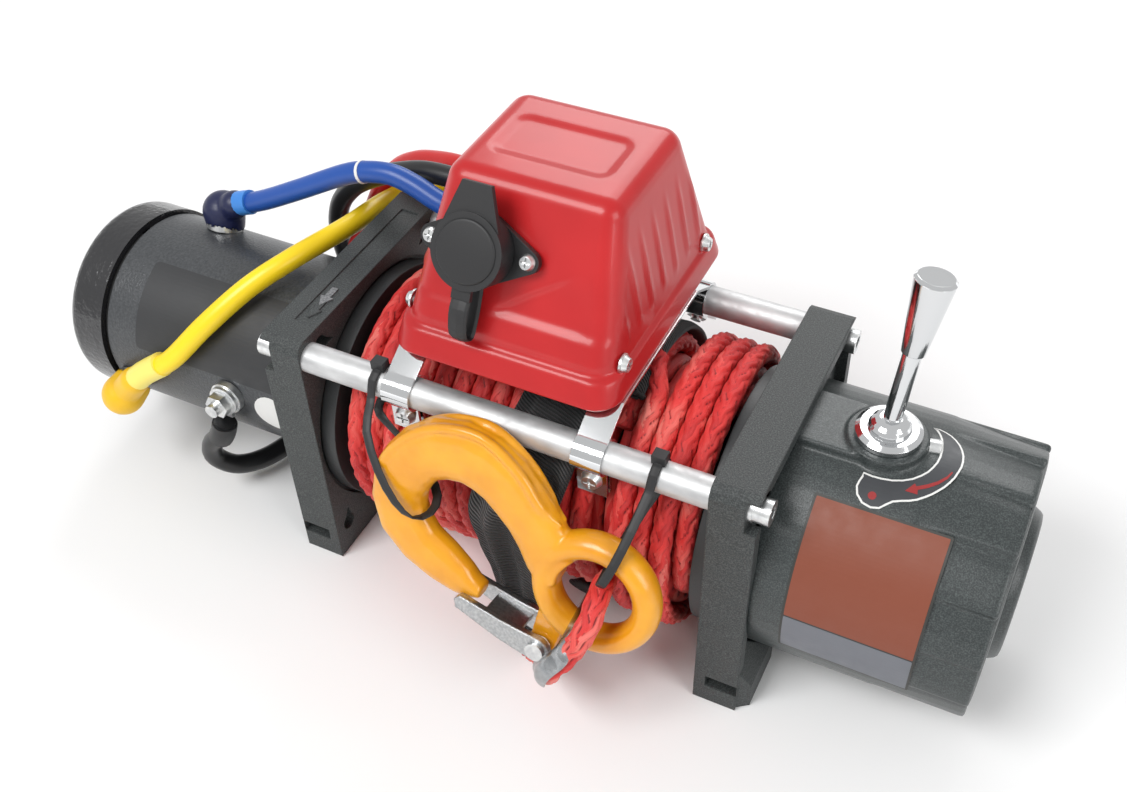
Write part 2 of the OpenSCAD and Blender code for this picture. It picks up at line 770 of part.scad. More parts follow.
module brush_gear() color("tan") {
    holder_x = -commutator_start - commutator_len - holder_t - over;
    difference() {
        on_axis(holder_x) cylinder(r = motor_bore_r - over - free_gap, h = holder_t);
        on_axis(holder_x - over) cylinder(r = commutator_r + over * 2, h = holder_t + 2 * over);
        stay_holes();
    }
    for (angle = [0 : 90 : 270])
        translate([0, 0, axis_h]) rotate([angle, 0, 0])
            translate([holder_x + holder_t, -brush_w / 2, commutator_r + slide_gap])
                cube([brush_len, brush_w, brush_w * 1.8]);
}

module ball_bearing(x, bore, r, w) difference() {
    on_axis(x) cylinder(r = r, h = w);
    on_axis(x - over) cylinder(r = bore, h = w + 2 * over);
    for (face = [x - over, x + w - groove_in])
        tube_ring(face, over + groove_in, mix(bore, r, 0.35), mix(bore, r, 0.65));
}

groove_in = 1;

module bearings() color("silver") {
    ball_bearing(-motor_start - bearing_w + seat_gap, shaft_r + run_gap, bearing_r,
        bearing_w - seat_gap * 2);
    ball_bearing(-cap_end + cap_wall, shaft_r + run_gap, bearing_r, bearing_w);
    for (x = [half_gap + recess_d + free_gap, -plate_out + free_gap])
        tube_ring(x, plate_t - recess_d - 2 * free_gap, journal_r + run_gap, bush_r - seat_gap);
}

module motor_terminals() color("silver") {
    for (i = [0 : 3]) terminal_dir(i) {
        translate([0, 0, motor_r + seat_gap]) difference() {
            cylinder(r = insulator_r, h = insulator_t);
            translate([0, 0, -over]) cylinder(r = stud_r + seat_gap, h = insulator_t + 2 * over);
        }
        translate([0, 0, motor_bore_r])
            cylinder(r = stud_r, h = motor_wall + insulator_t + stud_len);
        translate([0, 0, motor_r + insulator_t + lug_t + seat_gap * 3]) difference() {
            hex(stud_nut_af, stud_nut_h);
            translate([0, 0, -over]) cylinder(r = stud_r + seat_gap, h = stud_nut_h + 2 * over);
        }
    }
    for (i = [0, 3]) terminal_dir(i) translate([0, 0, motor_r + insulator_t + seat_gap * 2])
        difference() {
        union() {
            cylinder(r = lug_r, h = lug_t);
            rotate([0, 0, lug_turn[i]]) translate([0, -lug_r / 2, 0])
                cube([lug_r * 1.2, lug_r, lug_t]);
        }
        translate([0, 0, -over]) cylinder(r = stud_r + seat_gap, h = lug_t + 2 * over);
    }
}

boot_r = 12.5;
boot_neck_r = 8.5;
boot_neck_at = 20;

// A soft boot: a ball over the stud with a neck towards the cable
module boot(i, ball, root, neck_at, neck_to) difference() {
    union() {
        hull() {
            translate(root) sphere(r = boot_r * 0.92, $fn = 24);
            translate(ball) sphere(r = boot_r, $fn = 24);
        }
        hull() {
            translate(ball) sphere(r = boot_neck_r, $fn = 24);
            translate(neck_at) sphere(r = boot_neck_r, $fn = 24);
        }
    }
    terminal_dir(i) cylinder(r = insulator_r + free_gap, h = motor_r + insulator_t + free_gap);
    terminal_dir(i) cylinder(r = stud_nut_af / 2 / cos(30) + free_gap,
        h = motor_r + insulator_t + lug_t + stud_nut_h + free_gap * 2);
    terminal_dir(i) cylinder(r = stud_r + free_gap,
        h = motor_r + insulator_t + motor_wall + stud_len + free_gap);
    on_axis(-motor_end - seal_t) cylinder(r = motor_r + slide_gap, h = motor_len);
    on_axis(-cap_end) cylinder(r = cap_r + slide_gap, h = cap_len + seal_t);
    translate(neck_at) point_to(neck_to - neck_at) translate([0, 0, -cable_d * 0.2])
        cylinder(d = cable_d + free_gap, h = cable_d * 2);
}

// Turns local z towards a direction
module point_to(v) rotate([0, acos(v[2] / norm(v)), atan2(v[1], v[0])]) children();

module yellow_boot() color("goldenrod")
    boot(1, [-264, -66.5, 62.5], [-263, -60, 65], yellow_route[0], yellow_route[1]);

module blue_boot() color("navy")
    boot(2, [-240, 29, 140], [-239, 27, 134], blue_route[0] + [1, 0, 0], blue_route[1]);

module yellow_cable() color("gold") cable(yellow_route);
module blue_cable() color("royalblue") cable(blue_route);
module black_cable() color("black") cable(black_route);
module red_cable() color("red") cable(red_route);

grommet_out = -72;
grommet_in = -59;
wall_reach = 7;
grommet_margin = 9;

module cable_grommet() color("black") difference() {
    hull() for (h = [hole_blue, hole_black, hole_red, hole_yellow])
        translate([grommet_out, h[1], h[2]]) rotate([0, 90, 0])
            cylinder(r = grommet_margin, h = grommet_in - grommet_out, $fn = 24);
    for (h = [hole_blue, hole_black, hole_red, hole_yellow])
        translate([grommet_out - over, h[1], h[2]]) rotate([0, 90, 0])
            cylinder(d = cable_d + seat_gap * 4, h = grommet_in - grommet_out + 2 * over);
}

// Drum and rope

drum_bore_r = 24;
drum_bore_end = 90;
drum_end = plate_out + 3;
drum_short_end = plate_out - 1;
drum_socket_af = 28;
drum_socket_len = 12;

module drum() color("dimgray") difference() {
    union() {
        on_axis(-half_gap) cylinder(d = drum_d, h = gap_w);
        for (x = [-half_gap - over, half_gap + over - flange_t]) on_axis(x)
            cylinder(r = flange_r, h = flange_t);
        on_axis(-drum_short_end) cylinder(r = journal_r, h = drum_short_end + drum_end);
    }
    on_axis(-drum_bore_end) cylinder(r = drum_bore_r, h = 2 * drum_bore_end);
    on_axis(-drum_short_end - over) cylinder(r = coupling_r + free_gap * 3, h = drum_short_end);
    on_axis(0) cylinder(r = thin_shaft_r + free_gap, h = drum_end + over);
    on_axis(drum_end - drum_socket_len) hex(drum_socket_af, drum_socket_len + over);
}

rope_r = rope_d / 2;
rope_start_x = -half_gap + flange_t + rope_r;
layer_end_x = rope_start_x + layer_turns * rope_pitch;
top_end_x = half_gap + over - flange_t - rope_r - over;
top_r = layer_r + top_rise;
core_gap = 0.4;
loop_rings = 24;
rope_sides = 6;

module rope_core() color("firebrick") difference() {
    union() {
        on_axis(-half_gap - over + flange_t + slide_gap)
            cylinder(r = layer_r - rope_r - core_gap,
                h = gap_w + 2 * over - 2 * flange_t - 2 * slide_gap);
        on_axis(top_end_x - (top_turns + 0.5) * rope_pitch)
            cylinder(r = top_r - rope_r - core_gap, h = (top_turns + 1) * rope_pitch);
    }
    on_axis(-half_gap) cylinder(r = drum_d / 2 + slide_gap, h = gap_w);
}

// Middle points of a wound layer: straight for one rope diameter, round and round, then straight again
function wound(x0, x1, r, turns, a0) = let (
    n = round(abs(turns) * loop_rings),
    around = [for (i = [0 : n]) let (a = a0 + 360 * turns * i / n)
        [mix(x0, x1, i / n), r * cos(a), axis_h + r * sin(a)]],
    first = unit(around[0] - around[1]),
    last = unit(around[n] - around[n - 1]))
    concat([around[0] + first * rope_d], around, [around[n] + last * rope_d]);

full_layer = wound(rope_start_x, layer_end_x, layer_r, layer_turns, -60);
top_layer = wound(top_end_x, top_end_x - top_turns * rope_pitch, top_r, -top_turns, 108);

// Least gap of a wound layer to itself, over the rings of the next turn
function self_gap(p) = min([for (i = [0 : len(p) - loop_rings - 8], k = [-6 : 6])
    norm(p[i] - p[i + loop_rings + k])]) - rope_d;

module rope_winding() color("crimson") {
    for (p = [full_layer, top_layer]) {
        w = [for (i = p) rope_d];
        tube(p, w, w, rope_sides, [1, 0, 0]);
    }
    echo("least gap of the rope to itself", self_gap(full_layer), self_gap(top_layer));
}

// The part of the sleeve that lies on the drum, over the last turn
module wound_sleeve() color("black") {
    mid_r = (wound_in_r + wound_out_r) / 2;
    thick = wound_out_r - wound_in_r;
    p = [for (i = [0 : wound_steps]) let (a = wound_start - wound_sweep * i / wound_steps)
        [mix(wound_x[0], wound_x[1], i / wound_steps), mid_r * cos(a), axis_h + mid_r * sin(a)]];
    tube(p, [for (i = p) wound_w], [for (i = p) thick], sleeve_sides, [1, 0, 0]);
}

module rope_sleeve() color("black") {
    n = 2;
    p = curve(sleeve_route, n);
    w = curve(sleeve_widths, n);
    tube(p, w, [for (i = p) sleeve_t], sleeve_sides, [1, 0, 0]);
}

module hook_rope() color("crimson") {
    n = 2;
    p = curve(tail_route, n);
    w = [for (s = curve(tail_shares, n)) s * splice_d];
    tube(p, w, w, cable_sides, [0, 0, 1]);
}

module thimble() color("silver") {
    out = thimble_in / 2 + thimble_t;
    through = square_to(thimble_through, unit(thimble_up));
    set_along(thimble_at, unit(thimble_up), through) translate([0, 0, -thimble_w / 2])
        linear_extrude(thimble_w) difference() {
            union() {
                circle(r = out);
                translate([0, -out]) square([thimble_leg, out * 2]);
            }
            circle(r = thimble_in / 2);
            translate([0, -thimble_in / 2]) square([thimble_leg + over, thimble_in]);
        }
}

// Hook

// Sets local x along u and local z along w, at a point
module set_along(at, u, w) {
    v = cross(w, u);
    multmatrix([[u[0], v[0], w[0], at[0]], [u[1], v[1], w[1], at[1]], [u[2], v[2], w[2], at[2]],
        [0, 0, 0, 1]])
        children();
}

module hook_plane() translate([0, hook_y, hook_z]) rotate([90 - hook_lean, 0, 0]) children();

// A rounded section of the hook
function hook_ring(c, t, w, h) = [for (k = [0 : hook_sides - 1])
    let (a = 360 * k / hook_sides, s = cross([0, 0, 1], t), e = 0.8)
    c + w / 2 * sign(cos(a)) * pow(abs(cos(a)), e) * s + h / 2 * sign(sin(a)) * pow(abs(sin(a)),
        e) * [0, 0, 1]];

module hook_body() {
    p = [for (q = hook_line) [q[0], q[1], 0]];
    t = tangents(p);
    skin([for (i = [0 : len(p) - 1]) hook_ring(p[i], t[i], hook_line[i][2], hook_line[i][3])]);
}

module eye_ring() translate([eye_x, eye_u, 0]) rotate_extrude() translate([eye_r, 0])
    polygon([for (k = [0 : 23]) [eye_band / 2 * cos(k * 15), hook_t / 2 * sin(k * 15)]]);

module hook_lug() hull() {
    translate([lug_x, lug_u, -lug_half_t]) cylinder(r = lug_round_r, h = lug_half_t * 2, $fn = 32);
    translate([lug_root_x, lug_root_u, -lug_half_t])
        cylinder(r = lug_root_r, h = lug_half_t * 2, $fn = 32);
}

module hook() color("orange") hook_plane() difference() {
    union() {
        hook_body();
        eye_ring();
        hook_lug();
    }
    translate([lug_x, lug_u, -hook_t]) cylinder(r = latch_pin_r + run_gap, h = hook_t * 2);
    translate([eye_x, eye_u, -hook_t]) cylinder(r = eye_r - eye_band / 2 - 0.2, h = hook_t * 2);
    translate([lug_x, lug_u, lug_half_t]) cylinder(r = latch_root_r + slide_gap * 2, h = hook_t);
    translate([lug_x, lug_u, -lug_half_t - hook_t])
        cylinder(r = latch_root_r + slide_gap * 2, h = hook_t);
}

module latch_pin() color("silver") hook_plane() translate([lug_x, lug_u, 0]) {
    translate([0, 0, -latch_out - pin_head_t])
        cylinder(r = latch_pin_r, h = latch_out * 2 + pin_head_t * 2);
    for (z = [-latch_out - pin_head_t - seat_gap, latch_out + seat_gap])
        translate([0, 0, z]) cylinder(r = pin_head_r, h = pin_head_t);
}

// One cheek of the latch, drawn along x from the pin
module latch_cheek() linear_extrude(latch_out - latch_in) difference() {
    union() {
        circle(r = latch_root_r);
        polygon([[0, latch_root_r], [latch_len * 0.45, latch_root_r], [latch_len, latch_tip_r],
            [latch_len + latch_tip_r / 2, 0], [latch_len, -latch_tip_r * 0.8],
                [latch_len * 0.45, -latch_tip_r],
            [0, -latch_root_r]]);
    }
    circle(r = latch_pin_r + run_gap);
}

module hook_latch() color("silver") hook_plane() translate([lug_x, lug_u, 0])
    rotate([0, 0, latch_angle]) {
    translate([0, 0, latch_in]) latch_cheek();
    translate([0, 0, -latch_out]) latch_cheek();
    translate([web_start, -web_half_t, -latch_in - seat_gap])
        cube([web_end - web_start, web_half_t * 2, latch_in * 2 + seat_gap * 2]);
}

module latch_spring() color("silver") hook_plane() translate([lug_x, lug_u, lug_half_t]) {
    n = round(spring_turns * 8);
    p = [for (i = [0 : n]) let (a = 200 + 360 * spring_turns * i / n)
        [spring_r * cos(a), spring_r * sin(a),
            spring_wire_r + slide_gap / 2 + spring_pitch * spring_turns * i / n * 0.8]];
    w = [for (i = p) spring_wire_r * 2];
    tube(p, w, w, rope_sides, [0, 0, 1]);
}

// A closed loop of flat strap with its head
module tie(route, head_at) {
    p = curve(route, 2);
    t = tangents(p);
    skin([for (i = [0 : len(p) - 1]) ring(p[i], t[i], square_to([1, 0, 0], t[i]), tie_w, tie_t, tie_sides)]);
    translate(head_at - tie_head / 2) cube(tie_head);
}

module cable_ties() color("black") {
    tie(left_tie, [left_tie[0][0], left_tie[0][1] + 1.5, left_tie[0][2] + 1.6]);
    tie(right_tie, [right_tie[0][0], right_tie[0][1] + 1.5, right_tie[0][2] + 1.6]);
}

// Control box

// Four upright cylinders at the corners of the box at height z over its lip
module box_corners(z, t, inset) {
    s = z / box_h;
    x = mix(box_w, box_top_w, s) / 2 - inset - box_corner;
    front = mix(front_foot, box_top_front, s) + inset + box_corner;
    back = mix(back_foot, box_top_back, s) - inset - box_corner;
    for (side = [-1, 1], y = [front, back])
        translate([box_x + side * x, y, box_z + z]) cylinder(r = box_corner, h = t, $fn = 32);
}

// Four balls at the corners of its top
module box_top(inset) {
    x = box_top_w / 2 - box_top_round + box_side_bulge;
    for (side = [-1, 1], y = [box_top_front + box_top_round + box_front_bulge,
        box_top_back - box_top_round + box_side_bulge])
        translate([box_x + side * x, y, box_z + box_h - box_top_round])
            sphere(r = box_top_round - inset, $fn = 24);
}

box_side_bulge = 0.6;
box_front_bulge = -1.4;
lip_t = 0.5;

module box_cover() color("firebrick") difference() {
    union() {
        hull() {
            box_corners(0, lip_t, 0);
            box_corners(lip_h - lip_t, lip_t, 0);
        }
        hull() {
            box_corners(lip_h / 2, lip_t, lip_step);
            box_top(0);
        }
    }
    hull() {
        box_corners(-over, lip_t, box_wall);
        box_corners(lip_h - lip_t - box_wall, lip_t, box_wall);
    }
    hull() {
        box_corners(0, lip_t, lip_step + box_wall);
        box_top(box_wall);
    }
    grommet_cut(wall_reach);
    socket_plane() translate([0, 0, -box_wall * 6])
        cylinder(r = socket_body_r + slide_gap, h = box_wall * 12);
    socket_screws() translate([0, 0, -box_wall * 6])
        cylinder(r = socket_screw_r + seat_gap * 2, h = box_wall * 12);
    cover_screws() translate([0, 0, -box_wall * 4])
        cylinder(r = cover_screw_r + seat_gap * 2, h = box_wall * 8);
    cover_screws() cylinder(r = cover_screw_r * 2.2 + seat_gap * 4, h = box_wall * 4);
}

module grommet_cut(reach) hull() for (h = [hole_blue, hole_black, hole_red, hole_yellow])
    translate([grommet_out - over, h[1], h[2]]) rotate([0, 90, 0])
        cylinder(r = grommet_margin + slide_gap, h = grommet_in - grommet_out + reach, $fn = 24);

cover_screw_r = 2.4;
cover_screw_z = 14;
cover_screw_y = [-34, 66];

// Places of the side screws of the cover, z pointing outwards
module cover_screws() for (side = [-1, 1], y = cover_screw_y) if (side > 0 || y < 0)
    translate([box_x + side * cover_wall_x, y, box_z + cover_screw_z]) rotate([0, side * 90, 0])
        children();

cover_wall_x = mix(box_w, box_top_w, cover_screw_z / box_h) / 2 - lip_step;

module box_base() color("dimgray") {
    difference() {
        hull() box_corners(0, base_t, box_wall + over + slide_gap);
        strap_bolts() translate([0, 0, -over]) cylinder(r = m6_r, h = base_t + 2 * over);
        grommet_cut(over * 2);
    }
    difference() {
        for (side = [-1, 1], y = cover_screw_y) if (side > 0 || y < 0)
            translate([box_x + side * (cover_wall_x - box_wall - tab_gap) - (side > 0 ? base_t : 0),
                y - tab_w / 2, box_z + base_t - seat_gap]) cube([base_t, tab_w, tab_h]);
        cover_screws() translate([0, 0, -box_wall * 4])
            cylinder(r = cover_screw_r + seat_gap * 2, h = box_wall * 8);
    }
}

tab_gap = 3.6;
strap_bolt_y = 24;
strap_bolt_in = 1.8;

// Places of the four bolts between the straps and the base plate
module strap_bolts() for (x = strap_x, y = [-1, 1])
    translate([x - sign(x) * strap_bolt_in, y * strap_bolt_y + box_y, box_z]) children();

module contactor() color("black") {
    at = [cable_end_x + free_gap, contactor_y, box_z + base_t];
    translate(at) cube(contactor_size);
    for (k = [0 : 3])
        translate(at + [contactor_size[0] * (0.14 + 0.24 * k), contactor_size[1] * 0.4,
            contactor_size[2] - seat_gap])
            cylinder(r = stud_r, h = stud_len);
}

// How far the tab of a clamp leans out: the rear one keeps clear of the rope
function tab_turn(side) = side > 0 ? rear_tab_turn : 0;

// Places of the clamp screws, z pointing out through the tab
module tab_screws() for (x = strap_x, side = [-1, 1])
    translate([x, side * tie_bar_span / 2, tie_bar_h]) rotate([tab_turn(side), 0, 0])
        translate([0, 0, strap_screw_z - tie_bar_h]) rotate([-side * 90, 0, 0]) children();

// One strap: a clamp round each bar, joined by a run under the box
module strap_outline() {
    flat_z = box_z - strap_t;
    near = tie_bar_span / 2;
    difference() {
        union() {
            for (side = [-1, 1]) translate([side * near, tie_bar_h]) {
                circle(r = clamp_r + strap_t);
                rotate(tab_turn(side)) translate([-strap_tab_gap / 2 - strap_t, strap_tab_z - tie_bar_h])
                    square([strap_tab_gap + 2 * strap_t, tie_bar_h - strap_tab_z]);
            }
            polygon([[-near - strap_t, tie_bar_h + clamp_r], [-near, tie_bar_h + clamp_r + strap_t],
                [strap_slope - near, box_z], [near - strap_slope, box_z],
                [near, tie_bar_h + clamp_r + strap_t], [near + strap_t, tie_bar_h + clamp_r],
                [near, tie_bar_h + clamp_r - over / 2], [near - strap_slope, flat_z],
                [strap_slope - near, flat_z], [-near, tie_bar_h + clamp_r - over / 2]]);
        }
        for (side = [-1, 1]) translate([side * near, tie_bar_h]) {
            circle(r = clamp_r);
            rotate(tab_turn(side)) translate([-strap_tab_gap / 2, strap_tab_z - tie_bar_h - over])
                square([strap_tab_gap, tie_bar_h - strap_tab_z]);
        }
    }
}

module box_straps() color("gainsboro") difference() {
    for (x = strap_x) across(x - strap_w / 2, strap_w) strap_outline();
    tab_screws() translate([0, 0, -strap_w]) cylinder(r = m6_r + seat_gap * 2, h = strap_w * 2);
    strap_bolts() translate([0, 0, -strap_t * 2]) cylinder(r = m6_r, h = strap_t * 3);
}

socket_screw_r = 2.2;
pan_head_h = 2.6;
pan_head_r = 4.6;

// Pan-head screw, its shank along -z from the head's seat at zero
module pan_screw(r, len) difference() {
    union() {
        translate([0, 0, -len]) cylinder(r = r, h = len + seat_gap);
        cylinder(r1 = r * 1.9, r2 = r * 1.4, h = r * 1.1);
    }
    for (turn = [0, 90]) rotate([0, 0, turn]) translate([-r * 1.1, -r * 0.18, r * 0.5])
        cube([r * 2.2, r * 0.36, r]);
}

module box_screws() color("gainsboro") {
    tab_screws() translate([0, 0, strap_tab_gap / 2 + strap_t]) {
        pan_screw(m6_r, strap_tab_gap + 2 * strap_t + m6_r * 2);
        translate([0, 0, -strap_tab_gap - 2 * strap_t - m6_r * 1.4]) difference() {
            hex(m6_r * 3.3, m6_r * 1.4 - seat_gap);
            translate([0, 0, -over]) cylinder(r = m6_r + seat_gap, h = m6_r * 3);
        }
    }
    strap_bolts() translate([0, 0, base_t]) pan_screw(m6_r - seat_gap * 2, base_t + strap_t);
    cover_screws() translate([0, 0, cover_washer_t]) {
        pan_screw(cover_screw_r, cover_screw_r * 3);
        translate([0, 0, -cover_washer_t + seat_gap]) difference() {
            cylinder(r = cover_screw_r * 2.2, h = cover_washer_t - seat_gap * 2);
            translate([0, 0, -over]) cylinder(r = cover_screw_r + seat_gap, h = cover_washer_t * 3);
        }
    }
    socket_screws() translate([0, 0, socket_flange_t + seat_gap])
        pan_screw(socket_screw_r, socket_flange_t * 3);
}

cover_washer_t = 1.2;

// Remote socket

// The plane of the front face of the box at the socket: y up the face, z out of it
module socket_plane() translate([socket_x,
    front_foot + (socket_z - box_z) * tan(face_lean) + face_bulge, socket_z])
    rotate([90 - face_lean, 0, 0]) children();

face_bulge = 0.6;

module socket_screws() for (side = [-1, 1]) socket_plane() translate([side * socket_screw_x, 0, 0])
    children();

module socket_body() color("black") socket_plane() difference() {
    union() {
        hull() {
            cylinder(r = socket_flange_r, h = socket_flange_t, $fn = 32);
            for (side = [-1, 1]) translate([side * socket_screw_x, 0, 0])
                cylinder(r = socket_screw_r * 2.6, h = socket_flange_t, $fn = 32);
        }
        translate([0, 0, -socket_depth_in]) cylinder(r = socket_body_r, h = socket_depth_in + seat_gap);
        cylinder(r = socket_body_r, h = socket_flange_t + socket_collar);
    }
    translate([0, 0, -socket_depth_in + base_t]) cylinder(r = socket_bore_r, h = socket_depth_in * 2);
    for (side = [-1, 1]) translate([side * socket_screw_x, 0, -over])
        cylinder(r = socket_screw_r + seat_gap * 2, h = socket_flange_t + 2 * over);
}

module socket_cap() color("black") socket_plane() {
    skirt = socket_flange_t + slide_gap;
    difference() {
        union() {
            translate([0, 0, skirt]) cylinder(d = socket_d, h = cap_out - skirt);
            translate([0, 0, cap_out - cap_strap_t * 1.6]) linear_extrude(cap_strap_t * 1.2)
                polygon([[-socket_d / 2, 0], [-cap_tab_w / 2, cap_tab_len], [cap_tab_w / 2, cap_tab_len],
                    [socket_d / 2, 0]]);
        }
        translate([0, 0, skirt - over]) cylinder(r = cap_skirt_r, h = socket_collar + over * 2);
        translate([-cap_notch_w / 2, -socket_d / 2 - over, skirt - over])
            cube([cap_notch_w, cap_notch_w / 2, socket_collar + over * 2]);
    }
    translate([-cap_strap_w / 2, cap_hinge_y - cap_strap_t / 2, cap_out - cap_strap_t * 1.6])
        cube([cap_strap_w, -cap_hinge_y - socket_d / 2 + cap_strap_t * 1.5, cap_strap_t]);
}

// The strap that keeps the cap: from the cap's edge down in a loop and back to the flange
module cap_strap() color("black") socket_plane() {
    top_n = cap_out - cap_strap_t * 1.1;
    y0 = cap_hinge_y - cap_strap_t / 2 - slide_gap;
    p = curve([[0, y0, top_n], [0, y0 - cap_strap_drop * 0.3, top_n + cap_strap_t * 0.4],
        [0, y0 - cap_strap_drop * 0.75, top_n - cap_strap_t],
        [0, y0 - cap_strap_drop * 0.8, cap_strap_t * 1.8],
            [0, y0 - cap_strap_drop * 0.4, cap_strap_t * 0.9],
        [0, y0 - over, cap_strap_t * 0.75], [0, -socket_flange_r - slide_gap, cap_strap_t * 0.75]], 3);
    tube(p, [for (i = p) cap_strap_w], [for (i = p) cap_strap_t], tie_sides, [1, 0, 0]);
}

// Gear housing

saw_slices = 6;

// Outline of the ribbed end: each rib drops away from its step, more so towards the end
function saw_outline(depth) = [for (i = [0 : saw_count - 1], k = [0.04, 0.28, 0.52, 0.76, 0.96])
    (housing_r - saw_inset - depth * (1 - k)) * [cos((i + k) * 360 / saw_count),
        sin((i + k) * 360 / saw_count)]];

module ribbed_end() {
    slice = (housing_end - saw_start) / saw_slices;
    for (i = [0 : saw_slices - 1]) round_axis(saw_start + i * slice,
        slice + (i < saw_slices - 1 ? seat_gap : 0))
        polygon(saw_outline(saw_depth * (i + 1) / saw_slices));
}

module lever_boss_solid() {
    translate([clutch_x, 0, axis_h + housing_r * 0.8])
        cylinder(r = boss_r, h = boss_h - axis_h - housing_r * 0.8);
    translate([housing_x, -pad_w / 2, axis_h + housing_r * 0.8])
        cube([clutch_x - housing_x, pad_w, pad_h - axis_h - housing_r * 0.8]);
}

module gear_housing() color("dimgray") difference() {
    union() {
        on_axis(housing_x) cylinder(r = housing_r, h = saw_start - housing_x + seat_gap * 2);
        ribbed_end();
        lever_boss_solid();
    }
    on_axis(housing_x - over) cylinder(r = housing_flange_r, h = housing_len + 2 * over);
    on_axis(stage3_x) cylinder(r = housing_r - housing_wall, h = housing_len);
    translate([clutch_x, 0, axis_h]) cylinder(r = lever_shaft_r + run_gap, h = plate_h);
    translate([clutch_x, 0, stop_screw_z]) rotate([0, 90, stop_screw_turn])
        translate([0, 0, lever_shaft_r + over]) cylinder(r = stop_screw_r, h = boss_r);
    translate([clutch_x, 0, stop_screw_z]) rotate([0, 90, stop_screw_turn]) translate([0, 0, boss_r])
        cylinder(r = stop_screw_r * 1.35 + slide_gap, h = stop_screw_r * 2.2);
    for (k = [0 : housing_screws - 1]) round_screw(housing_screw_r, 30 + k * 360 / housing_screws)
        cylinder(r = m6_r + seat_gap * 2, h = housing_x - half_gap + housing_screw_bite);
}

module gear_end_cover() color("dimgray") difference() {
    union() {
        on_axis(housing_end - cover_lip) cylinder(r = housing_r - housing_wall - seat_gap, h = cover_lip);
        on_axis(housing_end - seat_gap) cylinder(r = cover_r, h = cover_out);
        on_axis(housing_end + cover_out - seat_gap * 2)
            cylinder(r1 = cover_r * 0.8, r2 = cover_r * 0.76, h = cover_out / 3);
    }
    on_axis(housing_end - cover_lip - over) cylinder(r = thin_shaft_r + run_gap,
        h = cover_lip + cover_out / 2 + over);
}

cover_out = 5;

// Gears

function involute(base, r) = let (a = acos(base / r)) tan(a) * 180 / PI - a;

// Half the angle of a tooth at radius r; thin is how much is taken off each flank
function tooth_half(teeth, r, thin) = let (
    pitch = gear_m * teeth / 2,
    base = pitch * cos(pressure_angle),
    at = max(r, base))
    90 / teeth - thin / pitch * 180 / PI + involute(base, pitch) - involute(base, at);

flank_steps = 4;

// Outline of a gear between two radii: every tooth has its two flanks
function gear_points(teeth, r0, r1, thin) = [for (k = [0 : teeth - 1], q = concat(
    [for (i = [0 : flank_steps]) let (r = mix(r0, r1, i / flank_steps)) [r, -tooth_half(teeth, r, thin)]],
    [for (i = [flank_steps : -1 : 0]) let (r = mix(r0, r1, i / flank_steps)) [r,
        tooth_half(teeth, r, thin)]]))
    q[0] * [cos(k * 360 / teeth + q[1]), sin(k * 360 / teeth + q[1])]];

module gear_outline(teeth) polygon(gear_points(teeth, gear_m * (teeth / 2 - dedendum_share),
    gear_m * (teeth / 2 + addendum_share), backlash));

// The inside of a ring gear: a wheel whose teeth are the spaces, turned half a tooth
module ring_hole() rotate([0, 0, 180 / ring_teeth]) polygon(gear_points(ring_teeth,
    gear_m * (ring_teeth / 2 - addendum_share), gear_m * (ring_teeth / 2 + dedendum_share), -backlash));

module ring_gear(x, len) round_axis(x, len) difference() {
    circle(r = ring_out_r);
    ring_hole();
}

module ring_gears() color("gray") {
    ring_gear(stage3_x + slide_gap, stage3_len - slide_gap);
    ring_gear(stage2_x, stage1_x + stage1_len - stage2_x);
}

module planet(x, len, k) round_axis(x + slide_gap, len - 2 * slide_gap)
    rotate([0, 0, 120 * k]) translate([orbit_r, 0]) rotate([0, 0, 180 / planet_teeth]) difference() {
        gear_outline(planet_teeth);
        circle(r = pin_r + run_gap);
    }

module planet_of(stage, k) color("lightgray") planet(
    stage == 1 ? stage1_x : stage == 2 ? stage2_x : stage3_x,
    stage == 1 ? stage1_len : stage == 2 ? stage2_len : stage3_len, k);

// Carrier plate with three pins that point towards +X
module carrier(x, pin_len, bore) {
    difference() {
        on_axis(x) cylinder(r = carrier_r, h = carrier_t);
        on_axis(x - over) cylinder(r = bore, h = carrier_t + 2 * over);
    }
    for (k = [0 : 2]) translate([x + carrier_t - seat_gap, orbit_r * cos(120 * k),
        axis_h + orbit_r * sin(120 * k)])
        rotate([0, 90, 0]) cylinder(r = pin_r, h = pin_len);
}

module output_carrier() color("gray") {
    carrier(drum_end + slide_gap, stage3_x + stage3_len - drum_end - carrier_t, thin_shaft_r + free_gap);
    difference() {
        on_axis(drum_end - drum_socket_len + slide_gap)
            hex(drum_socket_af - slide_gap, drum_socket_len + seat_gap);
        on_axis(drum_end - drum_socket_len - over)
            cylinder(r = thin_shaft_r + free_gap, h = drum_socket_len * 2);
    }
}

module output_sun() color("silver") difference() {
    union() {
        round_axis(stage3_x + slide_gap, stage3_len) gear_outline(sun_teeth);
        on_axis(stage3_x + stage3_len) hex(coupler_af, dogs_x + dog_h - stage3_x - stage3_len - free_gap);
    }
    on_axis(stage3_x - over) cylinder(r = thin_shaft_r + run_gap, h = dogs_x);
}

module dogs(x, turn) for (k = [0 : 3])
    sector(x, dog_h, dog_in_r, dog_out_r, turn + 90 * k - dog_half_angle, turn + 90 * k + dog_half_angle);

module clutch_coupler() color("silver") {
    half_groove = clutch_pin_r + groove_play;
    difference() {
        on_axis(coupler_x) cylinder(r = dog_out_r, h = coupler_len);
        on_axis(coupler_x - over) hex(coupler_af + slide_gap, coupler_len + 2 * over);
        tube_ring(pin_x - half_groove, half_groove * 2, groove_r, dog_out_r + over);
    }
    dogs(coupler_x + coupler_len - seat_gap, 0);
}

